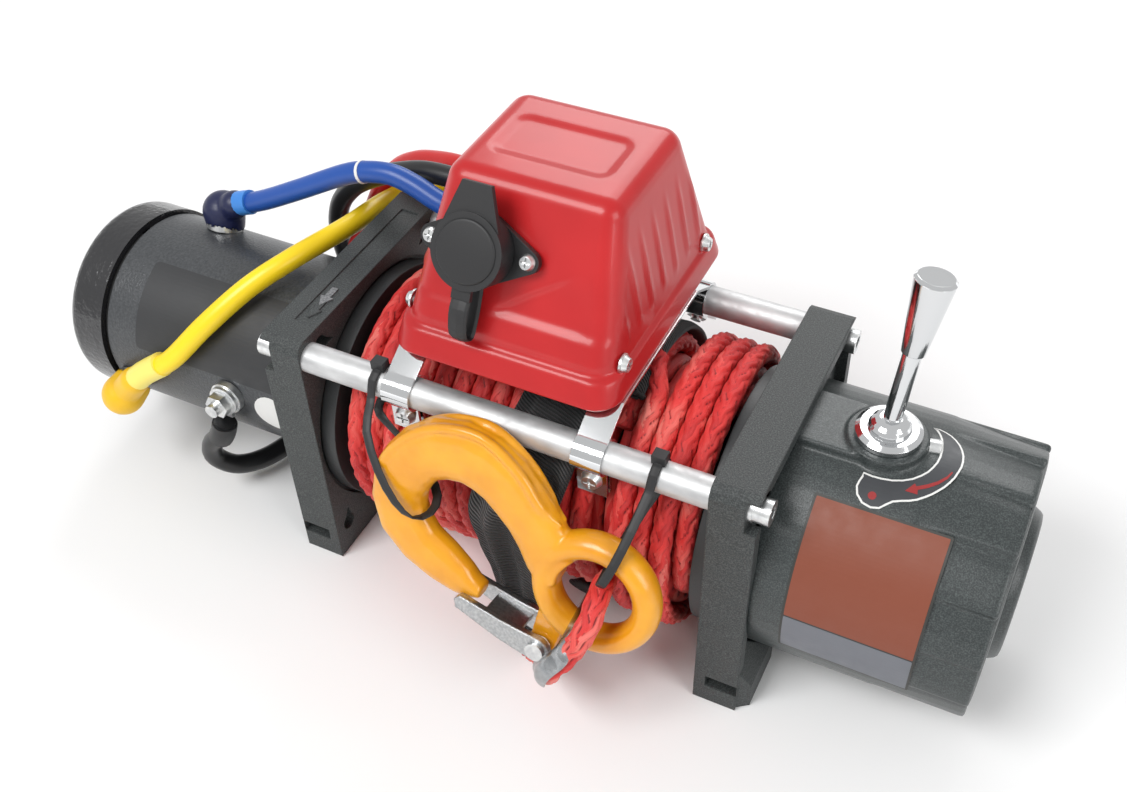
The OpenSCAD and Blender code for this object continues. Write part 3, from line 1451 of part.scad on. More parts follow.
module second_carrier() color("gray") {
    x = dogs_x + dog_h + free_gap;
    carrier(x, stage2_x + stage2_len - x - carrier_t, thin_shaft_r + run_gap);
    dogs(dogs_x + free_gap, 45);
}

module first_carrier() color("gray") {
    x = stage2_x + stage2_len + over;
    carrier(x, stage1_x + stage1_len - x - carrier_t, thin_shaft_r + run_gap);
    difference() {
        round_axis(stage2_x, stage2_len + over + seat_gap) gear_outline(sun_teeth);
        on_axis(stage2_x - over) cylinder(r = thin_shaft_r + run_gap, h = stage2_len + over * 3);
    }
}

module clutch_lever() color("silver") {
    translate([clutch_x, 0, boss_h + slide_gap]) rotate_extrude() polygon(concat(
        [[0, 0], [lever_flange_r, 0], [lever_flange_r, lever_flange_h * 0.6],
            [lever_flange_r - lever_flange_h * 0.5, lever_flange_h], [lever_dome_r, lever_flange_h]],
        [for (a = [15 : 15 : 60]) [lever_dome_r * cos(a), lever_flange_h + lever_dome_h * sin(a)]],
        [[0, lever_flange_h + lever_dome_h * 0.95]]));
    translate([clutch_x, 0, boss_h + lever_flange_h]) rotate([0, 0, lever_azimuth])
        rotate([0, lever_lean, 0]) {
        cylinder(r = lever_rod_r, h = lever_len - grip_len);
        translate([0, 0, lever_len - grip_len])
            cylinder(r1 = grip_small_r, r2 = grip_large_r, h = grip_len);
        translate([0, 0, lever_len - seat_gap])
            cylinder(r1 = grip_large_r, r2 = grip_large_r * 0.85, h = over * 1.5);
    }
    bottom = axis_h + dog_out_r + crank_t + over * 2;
    translate([clutch_x, 0, bottom]) cylinder(r = lever_shaft_r, h = boss_h + slide_gap * 2 - bottom);
    translate([clutch_x, 0, bottom - crank_t]) cylinder(r = crank_r, h = crank_t + seat_gap);
    translate([pin_x, clutch_throw * cos(45), axis_h + groove_r + over]) cylinder(r = clutch_pin_r,
        h = bottom - crank_t - axis_h - groove_r - over + seat_gap);
}

module armature() color("darkgoldenrod") {
    end_x = -cap_end + cap_wall + over;
    difference() {
        on_axis(-core_start - core_len) cylinder(r = core_r, h = core_len);
        for (k = [0 : 15]) translate([-core_start - core_len - over, 0, axis_h]) rotate([k * 22.5, 0, 0])
            translate([0, -over, core_r - slot_depth])
                cube([core_len + 2 * over, over * 2, slot_depth * 2]);
    }
    on_axis(end_x) cylinder(r = shaft_r, h = -end_x - plate_out + coupling_len / 4);
    on_axis(-plate_out + seat_gap) hex(coupling_af, coupling_len + over * 4);
    for (x = [-core_start - core_len - winding_len, -core_start - seat_gap])
        on_axis(x) cylinder(r = core_r * 0.85, h = winding_len + seat_gap);
    on_axis(-commutator_start - commutator_len) cylinder(r = commutator_r, h = commutator_len);
}

slot_depth = 6;
winding_len = 9;

module drive_shaft() color("silver") {
    socket_x = -plate_out + coupling_len / 4 + over;
    end = housing_end - free_gap;
    difference() {
        on_axis(socket_x) cylinder(r = coupling_r, h = coupling_len * 1.3);
        on_axis(socket_x - over) hex(coupling_af + slide_gap, coupling_len + over);
    }
    on_axis(socket_x + coupling_len * 1.2) cylinder(r = thin_shaft_r,
        h = end - socket_x - coupling_len * 1.2);
    on_axis(-brake_len / 2) cylinder(r1 = brake_r, r2 = brake_r * 0.9, h = brake_len);
    round_axis(stage1_x + slide_gap, stage1_len) gear_outline(sun_teeth);
}

motor_side_support();
gear_side_support();
tie_bars();
frame_bolts();
foot_nuts();
motor_casing();
motor_end_cap();
motor_cap_seal();
motor_drive_plate();
field_poles();
brush_gear();
bearings();
motor_terminals();
yellow_boot();
blue_boot();
yellow_cable();
blue_cable();
black_cable();
red_cable();
cable_grommet();
drum();
rope_core();
rope_winding();
wound_sleeve();
hook_rope();
rope_sleeve();
thimble();
hook();
latch_pin();
hook_latch();
latch_spring();
cable_ties();
box_cover();
box_base();
contactor();
box_straps();
box_screws();
socket_body();
socket_cap();
cap_strap();
gear_housing();
gear_end_cover();
ring_gears();
output_sun();
clutch_coupler();
clutch_lever();
output_carrier();
second_carrier();
first_carrier();
armature();
drive_shaft();
planet_of(1, 0);  // stage1_planet1
planet_of(1, 1);  // stage1_planet2
planet_of(1, 2);  // stage1_planet3
planet_of(2, 0);  // stage2_planet1
planet_of(2, 1);  // stage2_planet2
planet_of(2, 2);  // stage2_planet3
planet_of(3, 0);  // stage3_planet1
planet_of(3, 1);  // stage3_planet2
planet_of(3, 2);  // stage3_planet3
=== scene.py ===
import json
import math
import random

import bpy
import bmesh
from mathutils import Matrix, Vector

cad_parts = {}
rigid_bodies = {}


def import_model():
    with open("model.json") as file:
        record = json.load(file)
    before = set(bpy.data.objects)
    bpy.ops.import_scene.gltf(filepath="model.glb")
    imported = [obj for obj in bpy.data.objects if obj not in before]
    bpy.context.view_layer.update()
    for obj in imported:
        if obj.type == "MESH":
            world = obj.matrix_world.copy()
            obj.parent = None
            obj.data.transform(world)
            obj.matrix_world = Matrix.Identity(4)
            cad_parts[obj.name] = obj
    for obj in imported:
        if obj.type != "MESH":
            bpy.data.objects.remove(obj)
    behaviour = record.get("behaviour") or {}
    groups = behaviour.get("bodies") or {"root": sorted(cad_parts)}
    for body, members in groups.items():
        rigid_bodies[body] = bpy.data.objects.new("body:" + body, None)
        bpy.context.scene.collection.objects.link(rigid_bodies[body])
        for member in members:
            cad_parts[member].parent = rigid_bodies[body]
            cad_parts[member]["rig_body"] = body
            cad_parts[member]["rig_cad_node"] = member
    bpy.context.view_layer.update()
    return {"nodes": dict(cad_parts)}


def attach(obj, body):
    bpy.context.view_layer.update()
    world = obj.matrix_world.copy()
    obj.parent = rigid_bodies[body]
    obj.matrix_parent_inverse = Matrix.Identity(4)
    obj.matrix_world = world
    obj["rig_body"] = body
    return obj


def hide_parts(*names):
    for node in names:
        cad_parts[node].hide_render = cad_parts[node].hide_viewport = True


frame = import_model()
nodes = frame["nodes"]
bpy.ops.object.select_all(action="DESELECT")

# The camera stands in front of the gearbox end and looks down on the drum.
# Its lens and shift are those of the picture, 1127 by 792.
sensor_mm, focal_px, picture_px = 36, 1238.15, 1127
camera_data = bpy.data.cameras.new("camera")
camera_data.sensor_fit = "HORIZONTAL"
camera_data.sensor_width = sensor_mm
camera_data.lens = focal_px * sensor_mm / picture_px
camera_data.shift_x = -0.0427
camera_data.shift_y = 0.0210
camera_data.clip_start = 0.01
camera_data.clip_end = 20
camera = bpy.data.objects.new("camera", camera_data)
camera.location = (0.23443, -0.41570, 0.57905)
camera.rotation_euler = (math.radians(44.2202), math.radians(0.9500), math.radians(25.3205))
bpy.context.scene.collection.objects.link(camera)
bpy.context.scene.camera = camera

# The studio: a pale floor and three soft lamps, with a plain white surround.
# The surround shows white to the camera and in the chrome, and lights the winch gently.
bpy.context.scene.view_settings.view_transform = "Standard"


def soft_lamp(name, place, aim, size, power):
    """A broad lamp that faces the point it is aimed at."""
    lamp_data = bpy.data.lights.new(name, "AREA")
    lamp_data.shape = "RECTANGLE"
    lamp_data.size, lamp_data.size_y = size
    lamp_data.energy = power
    lamp = bpy.data.objects.new(name, lamp_data)
    lamp.location = place
    lamp.rotation_euler = (Vector(aim) - Vector(place)).to_track_quat("-Z", "Y").to_euler()
    bpy.context.scene.collection.objects.link(lamp)


soft_lamp("key_lamp", (-0.5, -1.0, 1.5), (0, 0, 0.1), (0.9, 0.7), 21)
soft_lamp("side_lamp", (1.4, -0.5, 0.9), (0.05, 0, 0.1), (0.8, 0.8), 9)
soft_lamp("back_lamp", (-0.2, 1.3, 1.2), (0, 0, 0.1), (1.2, 0.6), 12)


def add_node(tree, kind, **settings):
    """A shader node: its own properties by name, and its sockets with _ for each space."""
    node = tree.nodes.new(kind)
    for key, value in settings.items():
        if hasattr(node, key):
            setattr(node, key, value)
        else:
            node.inputs[key.replace("_", " ")].default_value = value
    return node


def wire(tree, *links):
    """Links, each given as a node, its output, the next node and its input."""
    for source, output, target, socket in links:
        tree.links.new(source.outputs[output], target.inputs[socket])


def base_material(name, colour, roughness, metallic=0.0, **sockets):
    """A plain material, with any other socket named with _ for each space."""
    material = bpy.data.materials.new(name)
    material.use_nodes = True
    shader = material.node_tree.nodes["Principled BSDF"]
    sockets.update(Base_Color=(*colour, 1), Roughness=roughness, Metallic=metallic)
    for socket, value in sockets.items():
        shader.inputs[socket.replace("_", " ")].default_value = value
    return material


world = bpy.data.worlds.new("surround")
bpy.context.scene.world = world
world.use_nodes = True
sky = world.node_tree
surround = sky.nodes["Background"]
surround.inputs["Color"].default_value = (1, 1, 1, 1)
ray = add_node(sky, "ShaderNodeLightPath")
seen = add_node(sky, "ShaderNodeMath", operation="MAXIMUM")
strength = add_node(sky, "ShaderNodeMapRange", To_Min=0.42, To_Max=1.0)
shine = add_node(sky, "ShaderNodeMapRange", To_Min=0.0, To_Max=0.33)
total = add_node(sky, "ShaderNodeMath", operation="ADD")
wire(sky, (ray, "Is Camera Ray", seen, 0), (ray, "Is Transmission Ray", seen, 1), (seen, 0, strength, "Value"),
     (ray, "Is Glossy Ray", shine, "Value"), (strength, "Result", total, 0), (shine, "Result", total, 1),
     (total, 0, surround, "Strength"))

# The floor lies just under the feet, and fades far from the winch to the white of the surround.
floor_size, floor_drop, fade_start, fade_end = 8, 0.0005, 0.6, 1.9
bpy.ops.mesh.primitive_plane_add(size=floor_size, location=(0, 0, -floor_drop))
floor = bpy.context.object
floor.name = "floor"
floor_paint = base_material("floor_paint", (0.93, 0.93, 0.93), 0.9, Specular_IOR_Level=0.1,
                            Emission_Color=(1, 1, 1, 1))
tree = floor_paint.node_tree
spot = add_node(tree, "ShaderNodeTexCoord")
reach = add_node(tree, "ShaderNodeVectorMath", operation="LENGTH")
fade = add_node(tree, "ShaderNodeMapRange", interpolation_type="SMOOTHSTEP", From_Min=fade_start, From_Max=fade_end)
wire(tree, (spot, "Object", reach, 0), (reach, "Value", fade, "Value"),
     (fade, "Result", tree.nodes["Principled BSDF"], "Emission Strength"))
floor.data.materials.append(floor_paint)


# Cast iron parts: the drum supports, the gear housing and its cover, and the drum itself.
# Sand cast, then sprayed in a charcoal paint that leaves a fine grain with lighter flecks.
def add_noise(tree, scale, detail=2.0, stretch=(1, 1, 1)):
    """Noise over the object's own coordinates."""
    place = add_node(tree, "ShaderNodeTexCoord")
    turn = add_node(tree, "ShaderNodeMapping", Scale=stretch)
    noise = add_node(tree, "ShaderNodeTexNoise", Scale=scale, Detail=detail)
    wire(tree, (place, "Object", turn, "Vector"), (turn, "Vector", noise, "Vector"))
    return noise


def set_ramp(ramp, *stops):
    """Sets the first stops of a colour ramp, each as a place and a colour."""
    for element, (place, colour) in zip(ramp.color_ramp.elements, stops):
        element.position = place
        element.color = (*colour, 1)


def add_grain(material, scale, height, distance, detail=3.0, stretch=(1, 1, 1), bevel=0.0):
    """Fine relief from noise, on rounded edges where a bevel is given."""
    tree = material.node_tree
    noise = add_noise(tree, scale, detail, stretch)
    bump = add_node(tree, "ShaderNodeBump", Strength=height, Distance=distance)
    wire(tree, (noise, "Fac", bump, "Height"), (bump, "Normal", tree.nodes["Principled BSDF"], "Normal"))
    if bevel:
        edge = add_node(tree, "ShaderNodeBevel", samples=4, Radius=bevel)
        wire(tree, (edge, "Normal", bump, "Normal"))


def add_tint(material, scale, low, high, start=0.35, stop=0.65, detail=2.0, stretch=(1, 1, 1)):
    """Colour that wanders between two tones."""
    tree = material.node_tree
    noise = add_noise(tree, scale, detail, stretch)
    ramp = add_node(tree, "ShaderNodeValToRGB")
    set_ramp(ramp, (start, low), (stop, high))
    wire(tree, (noise, "Fac", ramp, "Fac"), (ramp, "Color", tree.nodes["Principled BSDF"], "Base Color"))


def add_wear(material, scale, low, high):
    """Gloss that changes a little over the surface."""
    tree = material.node_tree
    noise = add_noise(tree, scale)
    spread = add_node(tree, "ShaderNodeMapRange", From_Min=0.3, From_Max=0.7, To_Min=low, To_Max=high)
    wire(tree, (noise, "Fac", spread, "Value"), (spread, "Result", tree.nodes["Principled BSDF"], "Roughness"))


def finish_nodes(material, *names):
    """Gives CAD nodes that stay in sight their material."""
    for name in names:
        slots = nodes[name].data.materials
        if len(slots):
            for i in range(len(slots)):
                slots[i] = material
        else:
            slots.append(material)


casting_paint = base_material("casting_paint", (0.030, 0.034, 0.035), 0.52)
add_tint(casting_paint, 1400, (0.020, 0.023, 0.024), (0.075, 0.085, 0.082), 0.42, 0.72, 2.0)
add_grain(casting_paint, 1500, 0.55, 0.0004, 2.0, bevel=0.0012)
finish_nodes(casting_paint, "motor_side_support", "gear_side_support")

housing_paint = base_material("housing_paint", (0.035, 0.040, 0.040), 0.34)
add_tint(housing_paint, 1500, (0.024, 0.029, 0.030), (0.088, 0.105, 0.102), 0.42, 0.78, 3.0)
add_grain(housing_paint, 1300, 0.30, 0.0003, 2.0, bevel=0.0010)
finish_nodes(housing_paint, "gear_housing", "gear_end_cover")

drum_paint = base_material("drum_paint", (0.028, 0.030, 0.031), 0.45)
add_grain(drum_paint, 900, 0.3, 0.0003, 2.0, bevel=0.0008)
finish_nodes(drum_paint, "drum")


# The gear housing: a cast tube with a boss for the clutch lever and soft saw-tooth ribs at its open end.
# Its skin is one casting, with fillets where the boss and its pad grow out of it.
axis_height, axis_mm = 0.080, 80
housing_r, housing_stop = 71, 246.0
rib_count, rib_start, rib_depth, rib_rise = 15, 200.0, 3.4, 0.07
rib_shares = [0.0, rib_rise / 2, rib_rise, 0.3, 0.6, 0.85]
housing_stations = [131.5, 150, 175, 198, 200.5, 204, 209, 215, 222, 229, 236, 241, 243, 244, 245, 245.6, 246]
boss_x, boss_r, boss_height, boss_z = 0.174, 0.0195, 0.0095, 0.15025
pad_place, pad_size = (0.15275, 0, 0.1492), (0.0425, 0.036, 0.0076)


def housing_radius(x, share):
    """Radius in mm of the housing's skin, at a share of one rib's turn."""
    depth = rib_depth * min(max((x - rib_start) / (housing_stop - rib_start), 0), 1) ** 0.8
    fall = 1 - share if share > rib_rise else share / rib_rise
    end = max(0.0, x - (housing_stop - 3)) / 3
    return housing_r - (0.35 + depth * fall) * (depth > 0) - 1.0 * (1 - math.sqrt(max(0.0, 1 - end * end)))


def mesh_piece(name, shape, material=None):
    """An object from a bmesh, with its faces turned outward."""
    bmesh.ops.recalc_face_normals(shape, faces=shape.faces)
    mesh = bpy.data.meshes.new(name)
    shape.to_mesh(mesh)
    shape.free()
    if material:
        mesh.materials.append(material)
    piece = bpy.data.objects.new(name, mesh)
    bpy.context.scene.collection.objects.link(piece)
    return piece


def pick(*pieces):
    """Selects pieces, with the first of them active."""
    bpy.ops.object.select_all(action="DESELECT")
    for piece in pieces:
        piece.select_set(True)
    bpy.context.view_layer.objects.active = pieces[0]


def modify(piece, kind, **settings):
    """Applies one modifier to the active piece."""
    modifier = piece.modifiers.new(kind.lower(), kind)
    for key, value in settings.items():
        setattr(modifier, key, value)
    bpy.ops.object.modifier_apply(modifier=modifier.name)


def smooth_faces(piece):
    """Smooth shading all over, and the piece deselected."""
    piece.data.polygons.foreach_set("use_smooth", [True] * len(piece.data.polygons))
    piece.select_set(False)


def smooth_by_angle(piece, degrees):
    """Smooth shading with crisp edges where faces meet at more than an angle."""
    pick(piece)
    bpy.ops.object.shade_smooth_by_angle(angle=math.radians(degrees))
    piece.select_set(False)


def join_rings(shape, rings):
    """Faces between each ring of corners and the next."""
    for one, two in zip(rings, rings[1:]):
        for k in range(len(one)):
            j = (k + 1) % len(one)
            shape.faces.new((one[k], one[j], two[j], two[k]))


def tube_piece(name, stations, outline, inner_radius):
    """A closed tube along X: an outer skin over the stations and a plain bore, in mm."""
    shape = bmesh.new()

    def ring(x, radius=None):
        places = [(radius or r, t) for r, t in outline(x)]
        return [shape.verts.new(Vector((x, r * math.cos(t), axis_mm + r * math.sin(t))) / 1000) for r, t in places]

    outer = [ring(x) for x in stations]
    near, far = [ring(x, inner_radius) for x in (stations[0], stations[-1])]
    join_rings(shape, outer + [far, near, outer[0]])
    return mesh_piece(name, shape)


def fuse(piece, others, voxel, smooth, keep):
    """One skin from overlapping shapes, with soft fillets between them."""
    pick(piece, *others)
    bpy.ops.object.join()
    modify(piece, "REMESH", mode="VOXEL", voxel_size=voxel)
    modify(piece, "SMOOTH", iterations=smooth, factor=0.5)
    modify(piece, "DECIMATE", ratio=keep)
    smooth_faces(piece)


def housing_ring(x):
    """The housing's outline at x, as (radius, turn)."""
    return [(housing_radius(x, s), math.radians((i + s) * 360 / rib_count))
            for i in range(rib_count) for s in rib_shares]


housing = tube_piece("gear_housing_casting", housing_stations, housing_ring, 66.3)
bpy.ops.mesh.primitive_cylinder_add(vertices=96, radius=boss_r, depth=boss_height, location=(boss_x, 0, boss_z))
boss = bpy.context.object
bpy.ops.mesh.primitive_cube_add(size=1, location=pad_place, scale=pad_size)
pad = bpy.context.object
for shape in (boss, pad):
    pick(shape)
    bpy.ops.object.transform_apply(location=True, rotation=True, scale=True)
fuse(housing, [boss, pad], voxel=0.00095, smooth=2, keep=0.42)
housing.data.materials.clear()
housing.data.materials.append(housing_paint)
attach(housing, "frame")
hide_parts("gear_housing")

# The end cover closes the housing: a thin flat disc let into its open end, with a round raised middle.
# It is cast and painted like the housing, and its screws are under the paint.
end_cover_steps = [(240.0, 0), (240.0, 65.6), (245.2, 65.6), (246.2, 64.6), (246.6, 62), (246.9, 41), (247.3, 39.6),
                   (250.6, 38.0), (252.0, 36.6), (252.5, 34), (252.6, 0)]


def turned_piece(name, steps, place, sides, sharp, material):
    """A closed turned body from steps of (mm along, radius); place turns along, across and up into a point."""
    shape = bmesh.new()
    rings = []
    for along, r in steps:
        turns = [math.tau * k / sides for k in range(sides)] if r else [0.0]
        rings.append([shape.verts.new(place(along, r * math.cos(t), r * math.sin(t))) for t in turns])
    for one, two in zip(rings, rings[1:]):
        for k in range(sides):
            j = (k + 1) % sides
            corners = [one[k % len(one)], one[j % len(one)], two[j % len(two)], two[k % len(two)]]
            shape.faces.new(list(dict.fromkeys(corners)))
    piece = mesh_piece(name, shape, material)
    smooth_by_angle(piece, sharp)
    return piece


end_disc = turned_piece("gear_end_disc", end_cover_steps,
                        lambda x, y, z: (x / 1000, y / 1000, axis_height + z / 1000), 96, 40, housing_paint)
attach(end_disc, "frame")
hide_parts("gear_end_cover")

# Bare label places: thin plates on the gear housing and the motor casing, and the curved one round the lever
# with its arrow and dot. They are glued film, plain and unprinted.
motor_r, patch_step, patch_sink = 56, 2.5, 0.15


def round_patch(name, outline, radius, thick, material):
    """A thin patch on a tube along X, from an outline of (mm along X, degrees round it)."""
    shape = bmesh.new()
    flat = [shape.verts.new((x, math.radians(turn) * radius, 0)) for x, turn in outline]
    shape.faces.new(flat)
    low, high = min(v.co.y for v in flat), max(v.co.y for v in flat)
    cuts = int((high - low) / patch_step)
    for i in range(1, cuts):
        y = low + (high - low) * i / cuts
        bmesh.ops.bisect_plane(shape, geom=shape.verts[:] + shape.edges[:] + shape.faces[:], dist=0.001,
                               plane_co=(0, y, 0), plane_no=(0, 1, 0))
    raised = bmesh.ops.extrude_face_region(shape, geom=shape.faces[:])
    top = {v for v in raised["geom"] if isinstance(v, bmesh.types.BMVert)}
    for v in shape.verts:
        r = radius + (thick if v in top else -patch_sink)
        turn = v.co.y / radius
        v.co = Vector((v.co.x, r * math.cos(turn), axis_mm + r * math.sin(turn))) / 1000
    patch = mesh_piece(name, shape, material)
    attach(patch, "frame")


def film(name, colour, roughness):
    """Glued film, a little uneven in its gloss."""
    material = base_material(name, colour, roughness)
    add_wear(material, 120, roughness - 0.06, roughness + 0.08)
    add_grain(material, 700, 0.10, 0.0002)
    return material


def rounded(x0, x1, low, high, corner, radius):
    """A rectangle with round corners, as (mm, degrees)."""
    turn = math.degrees(corner / radius)
    points = []
    for cx, cy, start in ((x1 - corner, high - turn, 0), (x0 + corner, high - turn, 90),
                          (x0 + corner, low + turn, 180), (x1 - corner, low + turn, 270)):
        for k in range(5):
            angle = math.radians(start + 22.5 * k)
            points.append((cx + corner * math.cos(angle), cy + turn * math.sin(angle)))
    return points


def oval(x, turn, half_x, half_turn, sides):
    """A round outline, as (mm, degrees)."""
    return [(x + half_x * math.cos(math.tau * k / sides), turn + half_turn * math.sin(math.tau * k / sides))
            for k in range(sides)]


film_edge = film("film_edge", (0.030, 0.030, 0.026), 0.45)
film_brown = film("film_brown", (0.215, 0.052, 0.024), 0.48)
film_grey = film("film_grey", (0.150, 0.158, 0.180), 0.45)
film_dark = film("film_dark", (0.040, 0.043, 0.048), 0.40)
film_black = film("film_black", (0.026, 0.027, 0.029), 0.46)
film_white = film("film_white", (0.78, 0.78, 0.76), 0.42)
film_red = film("film_red", (0.30, 0.020, 0.020), 0.45)
for name, outline, thick, film_tone in (
    ("housing_label_edge", rounded(152, 217.5, 121, 196, 1.0, housing_r), 0.12, film_edge),
    ("housing_label_upper", rounded(153.2, 216.3, 122, 173.6, 0.6, housing_r), 0.24, film_brown),
    ("housing_label_lower", rounded(153.2, 216.3, 174.4, 195, 0.6, housing_r), 0.24, film_grey),
):
    round_patch(name, outline, housing_r, thick, film_tone)
crescent = [
    (169.6, 107.6), (174, 107.9), (178.3, 107.7), (183, 107.1), (187.5, 105.8), (191.3, 104), (194.4, 101.6),
    (196.6, 99.2), (198, 96.6), (199, 93.8), (199.3, 90.7), (199, 87), (198.1, 83.6), (197, 80.8), (195.5, 78.3),
    (193.6, 76), (191.7, 74.6), (195, 74.4), (198, 75.2), (201.2, 76.6), (203.9, 78.6), (206.4, 81), (208.4, 83.8),
    (209.8, 86.6), (210.5, 89.6), (210.7, 92.4), (210.2, 95.2), (209.4, 98.4), (208, 101.3), (206.4, 103.8),
    (204.4, 106), (202.2, 108.2), (199.7, 110.1), (196.8, 112), (193.6, 113.4), (190.2, 114.4), (186.9, 115.6),
    (184.6, 117.4), (182, 119.6), (178, 120.4), (173.5, 119.6), (170, 117), (168.5, 113.8), (168.9, 111.2),
    (169.5, 109.4),
]
edge_width, mm_per_degree = 0.95, 1.239
inner_crescent = []
for i, (x, turn) in enumerate(crescent):
    before, after = crescent[i - 1], crescent[(i + 1) % len(crescent)]
    run_x, run_y = after[0] - before[0], (after[1] - before[1]) * mm_per_degree
    inset = edge_width / math.hypot(run_x, run_y)
    inner_crescent.append((x - run_y * inset, turn + run_x * inset / mm_per_degree))
arrow = [(207.6, 96.4), (206.3, 99.8), (203.4, 103.1), (199.4, 106), (195.4, 108), (196, 109.8), (190.2, 109.9),
         (193.3, 105.8), (194.3, 106.8), (198.7, 104.6), (202.6, 102), (205.6, 98.8), (207, 96)]
round_patch("lever_label_edge", crescent, housing_r, 0.14, film_white)
round_patch("lever_label_field", inner_crescent, housing_r, 0.26, film_dark)
round_patch("lever_label_dot", oval(177, 115.6, 2.0, 1.6, 12), housing_r, 0.36, film_red)
round_patch("lever_label_arrow", arrow[::-1], housing_r, 0.36, film_red)
round_patch("motor_label", rounded(-253, -134.6, 109.5, 165, 3, motor_r), motor_r, 0.14, film_black)
round_patch("motor_mark_place", oval(-158.5, 180.5, 12, 12.4, 24), motor_r, 0.16, film_white)

# The arrow cast into the top of the motor side support, raised a little over the casting.
# Its face is rubbed, so its paint is paler and worn.
worn_paint = base_material("worn_paint", (0.16, 0.165, 0.17), 0.5)
add_tint(worn_paint, 900, (0.10, 0.105, 0.11), (0.22, 0.225, 0.23), 0.35, 0.65)
add_grain(worn_paint, 1200, 0.4, 0.0003, 2.0)
arrow_foot, arrow_rise = 0.1590, 0.0011
arrow_face = [(-121.2, -37.5), (-117.2, -30.2), (-119.4, -30.2), (-119.4, -22.5), (-123.0, -22.5), (-123.0, -30.2),
              (-125.2, -30.2)]
shape = bmesh.new()
foot = shape.faces.new([shape.verts.new((x / 1000, y / 1000, arrow_foot)) for x, y in arrow_face])
raised = bmesh.ops.extrude_face_region(shape, geom=[foot])["geom"]
bmesh.ops.translate(shape, vec=(0, 0, arrow_rise), verts=[v for v in raised if isinstance(v, bmesh.types.BMVert)])
support_arrow = mesh_piece("support_arrow", shape, worn_paint)
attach(support_arrow, "frame")


# Bars and fasteners. The two tie bars are drawn tube with a satin silver finish and faint streaks;
# the screws, washers and nuts are zinc plated.
bar_finish = base_material("bar_finish", (0.56, 0.57, 0.57), 0.50, 0.70)
add_tint(bar_finish, 160, (0.46, 0.465, 0.47), (0.64, 0.645, 0.645), 0.3, 0.7, 6.0, (0.35, 1, 1))
add_wear(bar_finish, 240, 0.42, 0.60)
finish_nodes(bar_finish, "tie_bars")

zinc_plate = base_material("zinc_plate", (0.72, 0.73, 0.74), 0.30, 1.0)
add_tint(zinc_plate, 300, (0.58, 0.59, 0.60), (0.80, 0.81, 0.80), 0.3, 0.7)
add_grain(zinc_plate, 700, 0.12, 0.0002, 2.0, bevel=0.0004)
finish_nodes(zinc_plate, "frame_bolts", "foot_nuts", "motor_terminals", "box_screws", "latch_pin", "latch_spring")


# Motor: a rolled steel casing in dark grey paint, a black end cap, and a thin black seal between them.
# The bare field for its label runs down the front.
casing_paint = base_material("casing_paint", (0.050, 0.053, 0.058), 0.34)
add_tint(casing_paint, 700, (0.036, 0.039, 0.043), (0.066, 0.070, 0.075), 0.3, 0.7)
add_grain(casing_paint, 800, 0.55, 0.0005, 2.0, bevel=0.0008)
finish_nodes(casing_paint, "motor_casing", "motor_drive_plate")

cap_paint = base_material("cap_paint", (0.014, 0.014, 0.016), 0.25, Coat_Weight=0.4)
add_grain(cap_paint, 330, 0.8, 0.0007, 1.0)
finish_nodes(cap_paint, "motor_end_cap")

seal_rubber = base_material("seal_rubber", (0.008, 0.008, 0.008), 0.7)
add_grain(seal_rubber, 800, 0.2, 0.0002, 2.0)
finish_nodes(seal_rubber, "motor_cap_seal")

# Inside the motor and the gearbox: varnished copper, bronze, and machined steel.
# The black parts are dull plastic inside, and soft rubber or harder plastic where they show.
copper_wire = base_material("copper_wire", (0.42, 0.17, 0.06), 0.35, 0.7)
add_grain(copper_wire, 500, 0.5, 0.0004, 2.0, (1, 8, 8))
finish_nodes(copper_wire, "field_poles", "armature")
bronze = base_material("bronze", (0.52, 0.36, 0.15), 0.38, 1.0)
add_grain(bronze, 600, 0.1, 0.0002)
finish_nodes(bronze, "bearings")
gear_steel = base_material("gear_steel", (0.36, 0.37, 0.38), 0.34, 1.0)
add_grain(gear_steel, 500, 0.12, 0.0002)
finish_nodes(
    gear_steel, "ring_gears", "output_sun", "clutch_coupler", "output_carrier", "second_carrier", "first_carrier",
    "drive_shaft", *[f"stage{s}_planet{k}" for s in (1, 2, 3) for k in (1, 2, 3)],
)
dull_plastic = base_material("dull_plastic", (0.016, 0.016, 0.017), 0.55)
add_grain(dull_plastic, 700, 0.2, 0.0002)
finish_nodes(dull_plastic, "brush_gear", "contactor", "box_base")
soft_black = base_material("soft_black", (0.011, 0.011, 0.012), 0.50)
add_grain(soft_black, 500, 0.15, 0.0002, bevel=0.0006)
finish_nodes(soft_black, "cable_grommet", "socket_cap", "cap_strap", "cable_ties")
socket_plastic = base_material("socket_plastic", (0.013, 0.013, 0.014), 0.36)
add_grain(socket_plastic, 500, 0.12, 0.0002, bevel=0.0006)
finish_nodes(socket_plastic, "socket_body")

# The socket cap's face: a round raised plate in a shallow groove, soft and matt, left plain.
# It lies on the socket's own plane, which leans back with the cover's front.
cap_lean = math.radians(27.93)
socket_x, socket_y, socket_z = -22.5, -27.8, 222


def socket_place(x, y, out):
    """A point of the socket's own plane in mm: across, up the cover's face, and out of it."""
    return Vector((socket_x + x, socket_y + y * math.sin(cap_lean) - out * math.cos(cap_lean),
                   socket_z + y * math.cos(cap_lean) + out * math.sin(cap_lean))) / 1000


cap_face_steps = [(15.0, 0), (15.0, 15.4), (16.35, 15.4), (16.75, 15.0), (16.9, 14.2), (17.0, 0)]
cap_face = turned_piece("socket_cap_face", cap_face_steps, lambda out, x, y: socket_place(x, y, out),
                        72, 50, soft_black)
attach(cap_face, "socket_cap")

